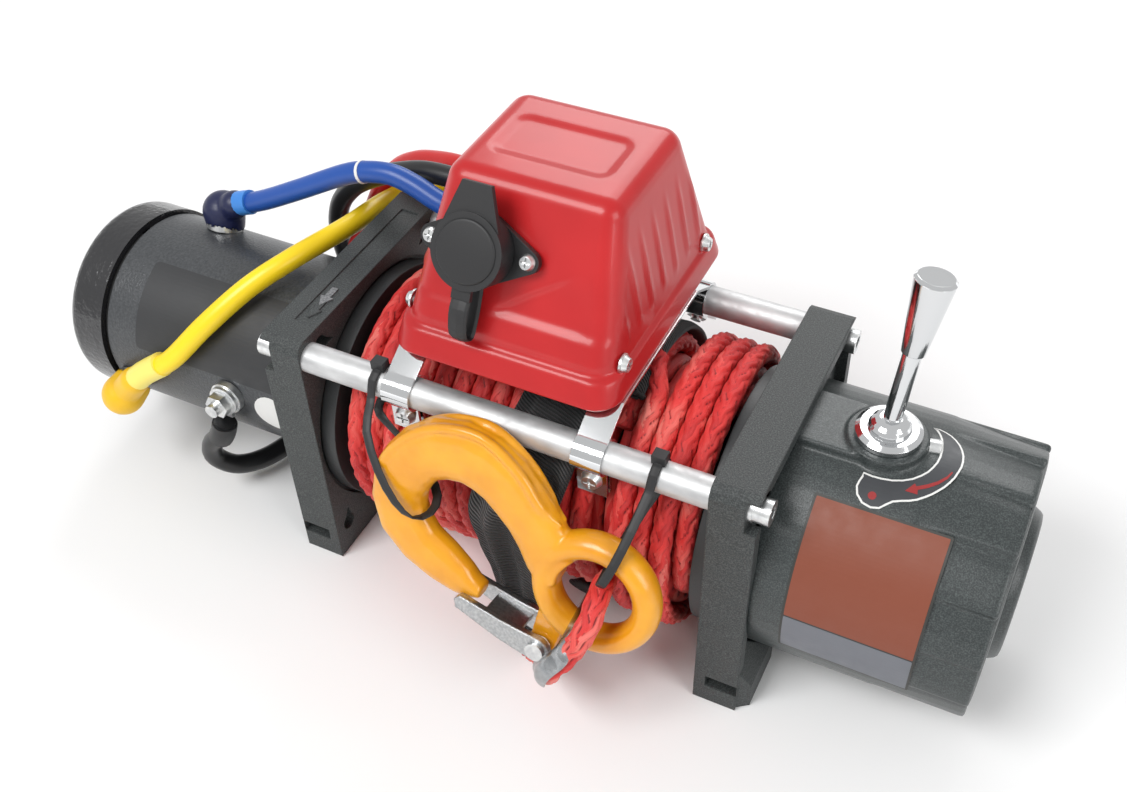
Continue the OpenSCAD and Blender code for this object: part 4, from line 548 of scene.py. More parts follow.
# Polished parts: the two strap brackets and the clutch lever are chromed.
# The chrome has a faint wave, so that its reflections aren't quite straight.
chrome = base_material("chrome", (0.66, 0.67, 0.68), 0.09, 1.0)
add_grain(chrome, 90, 0.05, 0.0004, 2.0, bevel=0.0004)
finish_nodes(chrome, "box_straps", "clutch_lever")

# The control box cover: a pressing in red gloss powder coat, with a bead round its foot, a shallow panel
# in its top, a ledge and a crease under the socket, and ribs in both ends. It drops over the base plate.
cover_mid, cover_floor, cover_rise = -4.5, 168.0, 83.0
foot_corner, crown_corner = 14, 11
crown_half, crown_front, crown_back, crown_start = 35.6, -3.4, 54.6, 72
cover_corners = ((-1, 0, 180), (1, 0, 270), (1, 1, 0), (-1, 1, 90))
cover_wall, socket_hole_radius = 0.0018, 0.0155
panel_x, panel_y, panel_half_x, panel_half_y, panel_corner, panel_depth = -5.5, 25, 24, 9.5, 8, 1.1
ledge_out, crease_depth = 0.9, 1.5
end_rib_out, end_rib_spacing, end_rib_y = 1.1, 14.5, 4
screw_places, screw_z, screw_reach, screw_flat = (-34, 66), 182, 6.6, 56.5


def soft_step(value, start, stop):
    """0 before the start and 1 after the stop, with a soft rise between them."""
    share = min(max((value - start) / (stop - start), 0), 1)
    return share * share * (3 - 2 * share)


def mix(low, high, share):
    """A value at a share of the way from one to another."""
    return low + (high - low) * share


cover_stations = []
for i, (sx, sy, start) in enumerate(cover_corners):
    for k in range(9):
        turn = math.radians(start + 90 * k / 8)
        cover_stations.append((sx, sy, math.cos(turn), math.sin(turn)))
    tx, ty, _ = cover_corners[(i + 1) % 4]
    turn = math.radians(start + 90)
    steps = 46 if sx != tx else 50
    for k in range(1, steps):
        cover_stations.append((mix(sx, tx, k / steps), mix(sy, ty, k / steps), math.cos(turn), math.sin(turn)))


def foot_ring(z, inset):
    """One ring of the lip, z above its foot."""
    share = z / cover_rise
    inset = inset + foot_corner
    half = mix(61.5, 46, share) - inset
    front, back = mix(-57, -13, share) + inset, mix(88, 65, share) - inset
    return [(cover_mid + sx * half + foot_corner * nx, mix(front, back, sy) + foot_corner * ny, cover_floor + z)
            for sx, sy, nx, ny in cover_stations]


def cover_lean(nx, ny):
    """How far the wall leans from upright, by the way that it faces."""
    return math.radians(9.8 * nx * nx + (27.9 if ny < 0 else 15.4) * ny * ny)


def crown_place(sx, sy, nx, ny, tilt):
    """A point of the rounding into the top, where its skin leans by tilt."""
    reach = crown_corner * math.cos(tilt)
    return (cover_mid + sx * crown_half + reach * nx, mix(crown_front, crown_back, sy) + reach * ny,
            cover_floor + crown_start + crown_corner * math.sin(tilt))


def wall_ring(z, low_z=6, high_z=77):
    """One ring of the leaning wall, whose height ends a little lower or higher on each side."""
    ring = []
    for sx, sy, nx, ny in cover_stations:
        low = Vector((cover_mid + sx * 43.98 + foot_corner * nx, mix(-37.4, 69.9, sy) + foot_corner * ny,
                      cover_floor + low_z))
        high = Vector(crown_place(sx, sy, nx, ny, cover_lean(nx, ny)))
        ring.append(mix(low, high, (z - low_z) / (high_z - low_z)))
    return ring


def crown_ring(share):
    """One ring of the rounding into the top."""
    return [crown_place(sx, sy, nx, ny, mix(cover_lean(nx, ny), math.pi / 2, share))
            for sx, sy, nx, ny in cover_stations]


def top_ring(share):
    """One ring of the flat top, from its rim towards its middle."""
    middle, depth = (crown_front + crown_back) / 2, crown_back - crown_front
    return [(cover_mid + sx * crown_half * share, middle + (sy - 0.5) * depth * share, cover_floor + cover_rise)
            for sx, sy, nx, ny in cover_stations]


def press(point, nx, ny, on_top):
    """The pressed details, as a move of one point."""
    x, y, z = point
    if on_top:
        past = Vector((max(abs(x - panel_x) - panel_half_x, 0), max(abs(y - panel_y) - panel_half_y, 0)))
        return x, y, z - panel_depth * (1 - soft_step(past.length - panel_corner, -5.0, 1.5))
    front = soft_step(-ny, 0.35, 0.95)
    end = soft_step(abs(nx), 0.9, 1.0)
    # the ledge under the socket, then the crease that slants across the front
    out = ledge_out * front * (1 - soft_step(z, 193.2, 196.2)) * soft_step(z, 181, 186)
    slope = ((x + 13) * 16 - (z - 196) * 26) / 30.5
    crease = soft_step(slope, -1.0, 1.6) * soft_step(z, 194.6, 197.5)
    out -= crease_depth * front * crease * (1 - soft_step(z, 205, 224)) * (1 - soft_step(x, 30, 46))
    # the upright ribs in both ends, with flat places for the screws
    wave = max(0.0, math.cos(math.tau * (y - end_rib_y) / end_rib_spacing)) ** 3
    rib = soft_step(z, 185, 193) * (1 - soft_step(z, 212, 236)) * soft_step(y, -36, -26) * (1 - soft_step(y, 64, 74))
    out += end_rib_out * end * wave * rib
    for screw_y in screw_places:
        if (nx > 0.5 or screw_y < 0) and abs(nx) > 0.5 and math.hypot(y - screw_y, z - screw_z) < screw_reach:
            out = min(out, (screw_flat - abs(x - cover_mid)) / abs(nx))
    return x + nx * out, y + ny * out, z


lip_steps = [(0, 0.5), (0.5, 0.1), (1.1, 0), (4, 0), (7, 0), (10.0, 0), (10.8, 0.12), (11.5, 0.45), (12.0, 1.0),
             (12.3, 1.6)]
wall_heights = [13.2] + [mix(14.2, 77, k / 47) for k in range(48)]
cover_rings = [("foot", foot_ring(z, inset)) for z, inset in lip_steps]
cover_rings += [("wall", wall_ring(z)) for z in wall_heights]
cover_rings += [("top" if k == 12 else "crown", crown_ring(k / 12)) for k in range(1, 13)]
cover_rings += [("top", top_ring(k / 24)) for k in range(23, -1, -1)]
shape = bmesh.new()
cover_grid = []
for kind, ring in cover_rings:
    if kind in ("wall", "top"):
        ring = [press(point, nx, ny, kind == "top") for point, (sx, sy, nx, ny) in zip(ring, cover_stations)]
    cover_grid.append([shape.verts.new(Vector(point) / 1000) for point in ring])
join_rings(shape, cover_grid)
bmesh.ops.remove_doubles(shape, verts=shape.verts, dist=0.00001)
bmesh.ops.dissolve_degenerate(shape, edges=shape.edges, dist=0.00001)
cover = mesh_piece("box_cover_pressing", shape)
pick(cover)
modify(cover, "SOLIDIFY", thickness=cover_wall, offset=-1)
cover.select_set(False)
# The socket sits in a round hole, whose edge its flange hides.
bpy.ops.mesh.primitive_cylinder_add(vertices=96, radius=socket_hole_radius, depth=0.024,
                                    location=socket_place(0, 0, -2), rotation=(math.pi / 2 - cap_lean, 0, 0))
hole_cutter = bpy.context.object
pick(cover)
modify(cover, "BOOLEAN", operation="DIFFERENCE", solver="EXACT", object=hole_cutter)
bpy.data.objects.remove(hole_cutter)
smooth_faces(cover)
box_red = base_material("box_red", (0.47, 0.014, 0.016), 0.34, Coat_Weight=0.22, Coat_Roughness=0.09,
                        Specular_IOR_Level=0.32)
add_tint(box_red, 25, (0.44, 0.012, 0.014), (0.50, 0.016, 0.018), 0.3, 0.7)
add_grain(box_red, 140, 0.06, 0.0006, 2.0)
cover.data.materials.append(box_red)
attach(cover, "frame")
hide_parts("box_cover")


# The rope: red twelve-strand braid, wound on the drum in one full layer with a second one begun
# at the gearbox end. Each strand shows as a row of small pillows that pass over and under.
def smooth_run(points, steps):
    """A smooth run through chosen points, with a number of steps between each two."""
    run = []
    for i in range(len(points) - 1):
        a = Vector(points[max(i - 1, 0)])
        b = Vector(points[i])
        c = Vector(points[i + 1])
        d = Vector(points[min(i + 2, len(points) - 1)])
        for k in range(steps):
            s = k / steps
            run.append(0.5 * (2 * b + (c - a) * s + (2 * a - 5 * b + 4 * c - d) * s * s
                              + (3 * b - a - 3 * c + d) * s ** 3))
    run.append(Vector(points[-1]))
    return run


def even_run(run, step):
    """The same run with points at an even distance."""
    out = [run[0].copy()]
    left = step
    for a, b in zip(run, run[1:]):
        gap = (b - a).length
        while gap >= left:
            a = a + (b - a) * (left / gap)
            out.append(a.copy())
            gap -= left
            left = step
        left -= gap
    return out


def mm(points):
    """Points given in mm, in metres."""
    return [tuple(c / 1000 for c in p) for p in points]


def run_ways(run):
    """The way along a run at each of its points."""
    last = len(run) - 1
    return [(run[min(i + 1, last)] - run[max(i - 1, 0)]).normalized() for i in range(len(run))]


def side_vectors(run, first):
    """The way along a run, and a side direction carried along it without twist."""
    ways, sides = run_ways(run), []
    side = Vector(first)
    for way in ways:
        side = (side - way * side.dot(way)).normalized()
        sides.append(side.copy())
    return ways, sides


def run_lengths(run):
    """The length along a run at each of its points."""
    lengths = [0.0]
    for a, b in zip(run, run[1:]):
        lengths.append(lengths[-1] + (b - a).length)
    return lengths


def skin_mesh(name, rings, lengths, turns, heights, material):
    """A closed skin over rings of points, with a map of length and turn and a height for the shader."""
    count = len(rings[0])
    verts = [p for ring in rings for p in ring]
    faces, maps = [], []
    for i in range(len(rings) - 1):
        for k in range(count):
            j = (k + 1) % count
            faces.append((i * count + k, i * count + j, (i + 1) * count + j, (i + 1) * count + k))
            far = turns[j] if j else 1.0
            maps.append(((lengths[i], turns[k]), (lengths[i], far), (lengths[i + 1], far), (lengths[i + 1], turns[k])))
    faces.append(tuple(range(count - 1, -1, -1)))
    maps.append(tuple((lengths[0], turns[k]) for k in range(count - 1, -1, -1)))
    start = (len(rings) - 1) * count
    faces.append(tuple(range(start, start + count)))
    maps.append(tuple((lengths[-1], turns[k]) for k in range(count)))
    mesh = bpy.data.meshes.new(name)
    mesh.from_pydata(verts, [], faces)
    layer = mesh.uv_layers.new(name="along")
    layer.data.foreach_set("uv", [c for face in maps for corner in face for c in corner])
    if heights:
        lift = mesh.attributes.new("lift", "FLOAT", "POINT")
        lift.data.foreach_set("value", [h for ring in heights for h in ring])
    mesh.materials.append(material)
    mesh.update()
    piece = bpy.data.objects.new(name, mesh)
    bpy.context.scene.collection.objects.link(piece)
    smooth_faces(piece)
    return piece


strand_columns, strand_slant, strand_drift = 6, 1.3, 0.13
strand_length, strand_relief, rope_swell, strand_gap = 0.0108, 0.0018, 0.00035, 977


def braid_column(turn, along, cell):
    """Where a point lies round the rope, counted in columns of strands."""
    return (turn * strand_columns + strand_drift * math.sin(math.tau * along / cell)) % strand_columns


def strand_place(column, share, along, cell):
    """How far along its own strand a point lies, at a share of its column."""
    way = 1 if column % 2 else -1
    return along / cell + way * strand_slant * (share - 0.5) + 0.5 * (column % 2)


def braid_lift(turn, along, cell):
    """Height of the braid, from 0 in a groove to 1 on a strand."""
    place = braid_column(turn, along, cell)
    column = math.floor(place)
    on_strand = strand_place(column, place - column, along, cell)
    pillow = max(math.cos(math.pi * (on_strand - math.floor(on_strand) - 0.5)), 0) ** 0.6
    ends = 1 - abs(2 * (place - column - 0.5)) ** 5
    return pillow * (0.5 + 0.5 * ends)


def braided_rope(name, run, radius_at, axes, angles, cell, relief):
    """A rope skin with its strands raised, and a map that follows each strand."""
    rings, heights = [], []
    lengths = run_lengths(run)
    for i, (centre, along, way, over) in enumerate(zip(run, lengths, *axes)):
        radius = radius_at(i / (len(run) - 1))
        across = way.cross(over)
        lifts = [braid_lift(turn, along, cell) for turn in angles]
        ring = []
        for turn, lift in zip(angles, lifts):
            r = radius - relief * (1 - lift)
            ring.append(centre + over * (r * math.cos(math.tau * turn)) + across * (r * math.sin(math.tau * turn)))
        rings.append(ring)
        heights.append(lifts)
    rope = skin_mesh(name, rings, lengths, angles, heights, rope_fibre)
    turns = angles + [angles[0] + 1]
    strand = rope.data.uv_layers["along"].data
    corner = 0
    for near, far in zip(lengths, lengths[1:]):
        for one, two in zip(turns, turns[1:]):
            column = math.floor(braid_column((one + two) / 2, (near + far) / 2, cell))
            for along, turn in ((near, one), (near, two), (far, two), (far, one)):
                share = braid_column(turn, along, cell) - column
                if abs(share) > strand_columns / 2:
                    share -= math.copysign(strand_columns, share)
                strand[corner].uv = (strand_place(column, share, along, cell) + strand_gap * column, share)
                corner += 1
    return rope


# Its fibres run along each strand, with strands of slightly different tone, pale pink streaks of painted sheen, and
# painted shade darkening the grooves between them.
rope_fibre = base_material("rope_fibre", (0.55, 0.018, 0.022), 0.52, Sheen_Weight=0.10, Sheen_Roughness=0.4,
                           Sheen_Tint=(1.0, 0.45, 0.4, 1))
tree = rope_fibre.node_tree
rope_shader = tree.nodes["Principled BSDF"]


def add_share(factor):
    """A node that adds to its third input a share of its first."""
    node = add_node(tree, "ShaderNodeMath", operation="MULTIPLY_ADD")
    node.inputs[1].default_value = factor
    node.inputs[2].default_value = 0.0
    return node


strand_map = add_node(tree, "ShaderNodeUVMap", uv_map="along")
strand_axes = add_node(tree, "ShaderNodeSeparateXYZ")
strand_number = add_node(tree, "ShaderNodeMath", operation="FLOOR")
strand_tone = add_node(tree, "ShaderNodeTexWhiteNoise", noise_dimensions="1D")
fibre_map = add_node(tree, "ShaderNodeMapping", Scale=(13, 1.4, 1))
fibre_noise = add_node(tree, "ShaderNodeTexNoise", Scale=1.0, Detail=4.0, Roughness=0.6)
patch_place = add_node(tree, "ShaderNodeTexCoord")
patch_noise = add_node(tree, "ShaderNodeTexNoise", Scale=30.0, Detail=1.0)
strand_fade, wander, streak = add_share(0.30), add_share(0.85), add_share(0.30)
# The ramp's reds are the rope's own tone; the pale pink at its top is a painted sheen on the fibres.
rope_tone_and_sheen = add_node(tree, "ShaderNodeValToRGB")
set_ramp(rope_tone_and_sheen, (0.46, (0.52, 0.014, 0.016)), (0.98, (0.86, 0.21, 0.17)))
rope_tone_and_sheen.color_ramp.elements.new(0.76).color = (0.74, 0.040, 0.036, 1)
# Low lift darkens the colour: painted shade in the recesses between the strands.
lift_value = add_node(tree, "ShaderNodeAttribute", attribute_name="lift")
groove = add_node(tree, "ShaderNodeMapRange", From_Min=0.12, From_Max=0.50)
# inputs 6 and 7 and output 2 of this node are its colours
painted_groove_shade = add_node(tree, "ShaderNodeMix", data_type="RGBA")
painted_groove_shade.inputs[6].default_value = (0.20, 0.003, 0.006, 1)
fibre_bump = add_node(tree, "ShaderNodeBump", Strength=0.6, Distance=0.0007)
wire(tree, (strand_map, "UV", strand_axes, "Vector"), (strand_axes, "X", strand_number, 0),
     (strand_number, 0, strand_tone, "W"), (strand_tone, "Value", strand_fade, 0),
     (patch_place, "Object", patch_noise, "Vector"), (patch_noise, "Fac", wander, 0), (strand_fade, 0, wander, 2),
     (strand_map, "UV", fibre_map, "Vector"), (fibre_map, "Vector", fibre_noise, "Vector"),
     (fibre_noise, "Fac", streak, 0), (wander, 0, streak, 2), (streak, 0, rope_tone_and_sheen, "Fac"),
     (lift_value, "Fac", groove, "Value"), (groove, "Result", painted_groove_shade, "Factor"),
     (rope_tone_and_sheen, "Color", painted_groove_shade, 7), (painted_groove_shade, 2, rope_shader, "Base Color"),
     (fibre_noise, "Fac", fibre_bump, "Height"), (fibre_bump, "Normal", rope_shader, "Normal"))

rope_radius, rope_pitch, ring_step = 0.0053, 0.0111, 0.0016
outer_turns = [k / 60 for k in range(-20, 21, 2)]
inner_turns = [0.42, 0.5, 0.58]
winding_turns = [t % 1.0 for t in outer_turns if t >= 0] + inner_turns + [1 + t for t in outer_turns if t < 0]


def drum_place(x, degrees, radius):
    """A point round the drum's axis."""
    turn = math.radians(degrees)
    return Vector((x, radius * math.cos(turn), axis_height + radius * math.sin(turn)))


def wind(x_start, x_end, radius, turns, start, step):
    """A run wound evenly from one end of the drum towards the other."""
    count = int(math.tau * radius * abs(turns) / step)
    return [drum_place(mix(x_start, x_end, i / count), start + 360 * turns * i / count, radius)
            for i in range(count + 1)]


def wound_layer(name, run, swell, angles, cell, relief):
    """One layer of rope on the drum, along its run."""
    outward = [Vector((0, p.y, p.z - axis_height)).normalized() for p in run]
    layer = braided_rope(name, run, lambda s: rope_radius + swell, (run_ways(run), outward), angles, cell, relief)
    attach(layer, "drum")
    return layer


full_start, full_count, full_radius = -0.0977, 13.5, 0.0674
full_run = wind(full_start, full_start + full_count * rope_pitch, full_radius, full_count, -60, ring_step)
full_layer = wound_layer("rope_full_layer", full_run, rope_swell, winding_turns, strand_length, strand_relief)
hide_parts("rope_winding")

# The begun layer comes up from the one below it, and its last part goes into the sleeve's mouth.
top_start, top_count, top_radius, top_angle = 0.0977, 3, 0.0736, 108
top_end = top_start - top_count * rope_pitch
rise_steps, mouth_steps = 60, 30
top_run = [drum_place(top_start, top_angle + 80 * share, top_radius - 0.0115 * soft_step(share, 0, 1))
           for share in [k / rise_steps for k in range(rise_steps, 0, -1)]]
top_run += wind(top_start, top_end, top_radius, -top_count, top_angle, ring_step)
top_run += [drum_place(top_end - 0.0105 * soft_step(share, 0, 1), top_angle - 22 * share, top_radius + 0.0012 * share)
            for share in [k / mouth_steps for k in range(1, mouth_steps + 1)]]
top_run = even_run(top_run, ring_step)
top_layer = wound_layer("rope_top_layer", top_run, rope_swell, winding_turns, strand_length, strand_relief)
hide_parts("rope_winding")

# The layers under it show only in the gaps: rope wound the same way, closer to the drum.
# Their strands are coarser, since little of them is seen.
under_turns = [k / 8 for k in range(8)]
for name, x_start, x_end, radius, start in (
    ("rope_under_layer", -0.0922, 0.0979, 0.0562, 40),
    ("rope_gear_side_layer", 0.0650, 0.0979, 0.0624, 200),
):
    under_run = wind(x_start, x_end, radius, (x_end - x_start) / rope_pitch, start, 0.0050)
    layer = wound_layer(name, under_run, 0.0003, under_turns, 0.0150, 0.0010)
    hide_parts("rope_core")

# The rope's end: it leaves the flat sleeve, passes the thimble, goes up through the hook's eye
# and comes back behind it, where the splice tapers away.
tail_points = [
    (23, -95.5, 10), (31, -100, 16), (41, -109.5, 27), (50, -120.5, 41), (54.5, -128.5, 54.5), (57.5, -129, 62),
    (62, -125.5, 67.5), (65.5, -123, 74), (69, -121, 82), (71.5, -115, 90), (71, -105, 95.5), (69.5, -94, 95),
    (68, -87, 88), (65, -87, 76), (61, -88.5, 64), (56, -90.5, 53), (50.5, -94, 42), (44, -97, 31),
]
tail_full_radius = 0.0063
tail_shares = [0.8, 0.85, 0.9, 0.95, 0.92, 0.9, 0.95, 1, 1, 1, 0.95, 0.9, 0.8, 0.75, 0.75, 0.7, 0.6, 0.45]


def read_off(values, s, eased=False):
    """A value between those of a list, at a share of the way along it."""
    place = s * (len(values) - 1)
    i = min(int(place), len(values) - 2)
    return mix(values[i], values[i + 1], soft_step(place, i, i + 1) if eased else place - i)


tail_run = even_run(smooth_run(mm(tail_points), 12), 0.0012)
hook_rope = braided_rope("hook_rope_braid", tail_run, lambda s: tail_full_radius * read_off(tail_shares, s),
                         side_vectors(tail_run, (0, 0, 1)), [k / 36 for k in range(36)], 0.0110, 0.0019)
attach(hook_rope, "frame")
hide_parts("hook_rope")


# The rope sleeve: a flat woven tube in black. It lies once round the rope on the drum,
# then hangs down in front behind the hook, in soft folds.
sleeve_weave = base_material("sleeve_weave", (0.010, 0.010, 0.011), 0.72, Sheen_Weight=0.12)
tree = sleeve_weave.node_tree
sleeve_shader = tree.nodes["Principled BSDF"]
weave_map = add_node(tree, "ShaderNodeUVMap", uv_map="along")
rib_scale = add_node(tree, "ShaderNodeMapping", Scale=(1150, 36, 1))
ribs = add_node(tree, "ShaderNodeTexWave", wave_type="BANDS", bands_direction="DIAGONAL", Scale=0.32, Distortion=0.5,
                Detail=1.0)
weave_bump = add_node(tree, "ShaderNodeBump", Strength=1.0, Distance=0.0009)
weave_ramp = add_node(tree, "ShaderNodeValToRGB")
set_ramp(weave_ramp, (0.0, (0.004, 0.004, 0.004)), (1.0, (0.024, 0.023, 0.025)))
wire(tree, (weave_map, "UV", rib_scale, "Vector"), (rib_scale, "Vector", ribs, "Vector"),
     (ribs, "Fac", weave_bump, "Height"), (weave_bump, "Normal", sleeve_shader, "Normal"),
     (ribs, "Fac", weave_ramp, "Fac"), (weave_ramp, "Color", sleeve_shader, "Base Color"))


def sleeve_section(share):
    """A point of the flat sleeve's outline, across and up, at a share of its turn."""
    across, up = math.cos(math.tau * share), math.sin(math.tau * share)
    return math.copysign(abs(across) ** 0.8, across), math.copysign(abs(up) ** 0.55, up)


def flat_sleeve(name, run, width_at, thick, fold, seed, count=56):
    """A flattened tube with folds that run along it."""
    rng = random.Random(seed)
    phases = [rng.uniform(0, 6.28) for _ in range(4)]
    rings = []
    for i, (centre, way, side) in enumerate(zip(run, *side_vectors(run, (1, 0, 0)))):
        s = i / (len(run) - 1)
        half = width_at(s) / 2
        up = way.cross(side)
        ring = []
        for k in range(count):
            x, y = sleeve_section(k / count)
            wave = math.sin(5.2 * x + phases[0] + 2.6 * s) + 0.6 * math.sin(9.5 * x + phases[1] - 5 * s)
            wave += 0.7 * math.sin(13 * s + phases[2] + 1.5 * x)
            lift = fold * wave * min(1, 8 * s + 0.1, 8 * (1 - s) + 0.1) * (1 - 0.4 * x * x)
            ring.append(centre + side * (half * x) + up * (thick / 2 * y * (1 - 0.25 * x * x) + lift))
        rings.append(ring)
    piece = skin_mesh(name, rings, run_lengths(run), [k / count for k in range(count)], None, sleeve_weave)
    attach(piece, "frame")
    return piece


sleeve_points = [
    (22, 22, 155.6), (22, 2, 158.8), (21, -20, 156.3), (20, -40, 147.8), (18, -58, 133), (13, -71, 114),
    (5, -79, 93), (7, -83, 76), (12, -86, 60), (16, -89, 42), (19, -92, 26), (22, -95, 14),
]
sleeve_widths = [26, 30, 34, 40, 44, 46, 44, 36, 32, 30, 27, 22]
hanging = flat_sleeve("sleeve_hanging", smooth_run(mm(sleeve_points), 9),
                      lambda s: read_off(sleeve_widths, s, eased=True) / 1000, 0.0062, 0.0019, 4)
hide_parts("rope_sleeve")
wound_steps, wound_radius, wound_width, wound_thick = 90, 0.0767, 0.0195, 0.0046
wound_run = [drum_place(mix(0.0485, 0.040, i / wound_steps), 108 - 250 * i / wound_steps, wound_radius)
             for i in range(wound_steps + 1)]
wound = flat_sleeve("sleeve_on_drum", wound_run, lambda s: wound_width, wound_thick, 0.0002, 7)
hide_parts("wound_sleeve")


def round_rod(name, points, radius, steps=6, closed=False, resolution=5, taper=0.0):
    """A rod along points, made a mesh."""
    curve = bpy.data.curves.new(name, "CURVE")
    curve.dimensions = "3D"
    curve.bevel_depth = radius
    curve.bevel_resolution = resolution
    curve.use_fill_caps = True
    run = smooth_run(points, steps)
    spline = curve.splines.new("POLY")
    spline.points.add(len(run) - 1)
    for i, p in enumerate(run):
        spline.points[i].co = (*p, 1)
        if taper:
            share = min(i, len(run) - 1 - i) / (len(run) - 1) / taper
            spline.points[i].radius = min(1.0, 0.15 + share)
    spline.use_cyclic_u = closed
    rod = bpy.data.objects.new(name, curve)
    bpy.context.scene.collection.objects.link(rod)
    pick(rod)
    bpy.ops.object.convert(target="MESH")
    rod = bpy.context.object
    smooth_faces(rod)
    return rod


# The frayed edge at the sleeve's mouth on the drum: a rough bead round its section.
hem_half = 0.0097
rng = random.Random(5)
hem_way, hem_side = (vectors[0] for vectors in side_vectors(wound_run, (1, 0, 0)))
hem_up = hem_way.cross(hem_side)
hem_bead = []
for k in range(48):
    x, y = sleeve_section(k / 48)
    x *= hem_half + rng.uniform(-0.0003, 0.0004)
    y *= wound_thick / 2 + rng.uniform(-0.0002, 0.0003)
    hem_bead.append(wound_run[0] + hem_side * x + hem_up * y + hem_way * rng.uniform(-0.0005, 0.0006))
hem = round_rod("sleeve_hem", hem_bead, 0.0009, 2, closed=True, resolution=2)
hem.data.materials.append(sleeve_weave)
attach(hem, "frame")

# The thimble: a polished steel channel under the rope's eye, which shows as a bright edge on both sides
# of the rope and as a broad band where it turns.
strip_run = [p for p in tail_run if p.z < 0.0735]
strip_run = strip_run[next(i for i, p in enumerate(strip_run) if p.z > 0.0300):]
thimble_steel = base_material("thimble_steel", (0.34, 0.35, 0.36), 0.24, 1.0)
add_tint(thimble_steel, 200, (0.26, 0.27, 0.28), (0.44, 0.45, 0.46), 0.3, 0.7)
add_grain(thimble_steel, 500, 0.15, 0.0003, 2.0)
strip_outside, strip_inside, strip_turn = 0.0073, 0.0066, 8.5
strip_section = [(strip_outside, strip_turn * k) for k in range(-9, 10)]
strip_section += [(strip_inside, strip_turn * k) for k in range(9, -10, -1)]
shape = bmesh.new()
strip_rows = []
for i, (centre, way, out) in enumerate(zip(strip_run, *side_vectors(strip_run, (-0.75, 0.35, -0.55)))):
    across = way.cross(out)
    ease = min(1.0, 6 * i / len(strip_run) + 0.25, 6 * (len(strip_run) - 1 - i) / len(strip_run) + 0.25)
    row = []
    for radius, degrees in strip_section:
        angle = math.radians(degrees * ease)
        row.append(shape.verts.new(centre + out * radius * math.cos(angle) + across * radius * math.sin(angle)))
    strip_rows.append(row)
join_rings(shape, strip_rows)
for row in (strip_rows[0], strip_rows[-1]):
    last = len(row) - 1
    for k in range(len(row) // 2 - 1):
        shape.faces.new((row[k], row[k + 1], row[last - 1 - k], row[last - k]))
thimble_channel = mesh_piece("thimble_channel", shape, thimble_steel)
smooth_by_angle(thimble_channel, 45)
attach(thimble_channel, "frame")
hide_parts("thimble")

# The hook: drop forged, with a round eye and a rib along its back, in golden yellow gloss paint.
# It is the plain forging, skinned again finely and smoothed, so that its eye blends into its shank.
hook_lean = math.radians(16)
hook_y, hook_z, hook_rib_radius = -100.2, 83, 0.0026


def remade(name, cad_name, voxel, smooth, extra=()):
    """A fine, smoothed copy of a CAD node, with any extra shapes fused to it."""
    piece = nodes[cad_name].copy()
    piece.data = nodes[cad_name].data.copy()
    piece.parent = None
    bpy.context.scene.collection.objects.link(piece)
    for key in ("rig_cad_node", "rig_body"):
        if key in piece:
            del piece[key]
    pick(piece, *extra)
    if extra:
        bpy.ops.object.join()
    piece.name = name
    piece.data.name = name
    bpy.ops.object.mode_set(mode="EDIT")
    bpy.ops.mesh.select_all(action="SELECT")
    bpy.ops.mesh.remove_doubles(threshold=0.000005)
    bpy.ops.object.mode_set(mode="OBJECT")
    modify(piece, "REMESH", mode="VOXEL", voxel_size=voxel, use_smooth_shade=True)
    modify(piece, "SMOOTH", iterations=smooth, factor=0.5)
    piece.data.materials.clear()
    piece.select_set(False)
    return piece


def hook_place(x, u, lift):
    """A point of the hook's own plane, in mm: along, up, and out of its front face."""
    return Vector((x, hook_y + u * math.sin(hook_lean) - lift * math.cos(hook_lean),
                   hook_z + u * math.cos(hook_lean) + lift * math.sin(hook_lean))) / 1000


back_line = [(-55, 13), (-56, 30), (-51, 46), (-42, 58.5), (-31, 68.4), (-18, 74.6), (-2, 77), (9, 74),
             (18.5, 68), (27, 60.5), (34, 51.5), (40, 45), (47, 41)]
rib_lifts = [min(5.6, 3.0 + 1.3 * min(k, len(back_line) - 1 - k)) for k in range(len(back_line))]
hook_ribs = []
for side in (-1, 1):
    rib_line = [hook_place(x, u, side * lift) for (x, u), lift in zip(back_line, rib_lifts)]
    hook_ribs.append(round_rod("hook_rib", rib_line, hook_rib_radius, taper=0.16))
hook = remade("hook_forging", "hook", voxel=0.0009, smooth=6, extra=hook_ribs)
hook_paint = base_material("hook_paint", (0.80, 0.34, 0.008), 0.30, Coat_Weight=0.35, Coat_Roughness=0.18)
add_tint(hook_paint, 45, (0.74, 0.29, 0.005), (0.85, 0.38, 0.010), 0.3, 0.7, 3.0)
add_grain(hook_paint, 160, 0.30, 0.0010, 4.0)
hook.data.materials.append(hook_paint)
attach(hook, "frame")
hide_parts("hook")

# The latch: two pressed steel cheeks on a pin, plated, with their edges rounded in the press.
# It is the CAD node as it is, in its own finish.
latch_steel = base_material("latch_steel", (0.46, 0.47, 0.48), 0.34, 1.0)
add_tint(latch_steel, 700, (0.38, 0.39, 0.40), (0.56, 0.57, 0.57), 0.3, 0.7)
add_grain(latch_steel, 800, 0.35, 0.0004, 3.0, bevel=0.0014)
finish_nodes(latch_steel, "hook_latch")


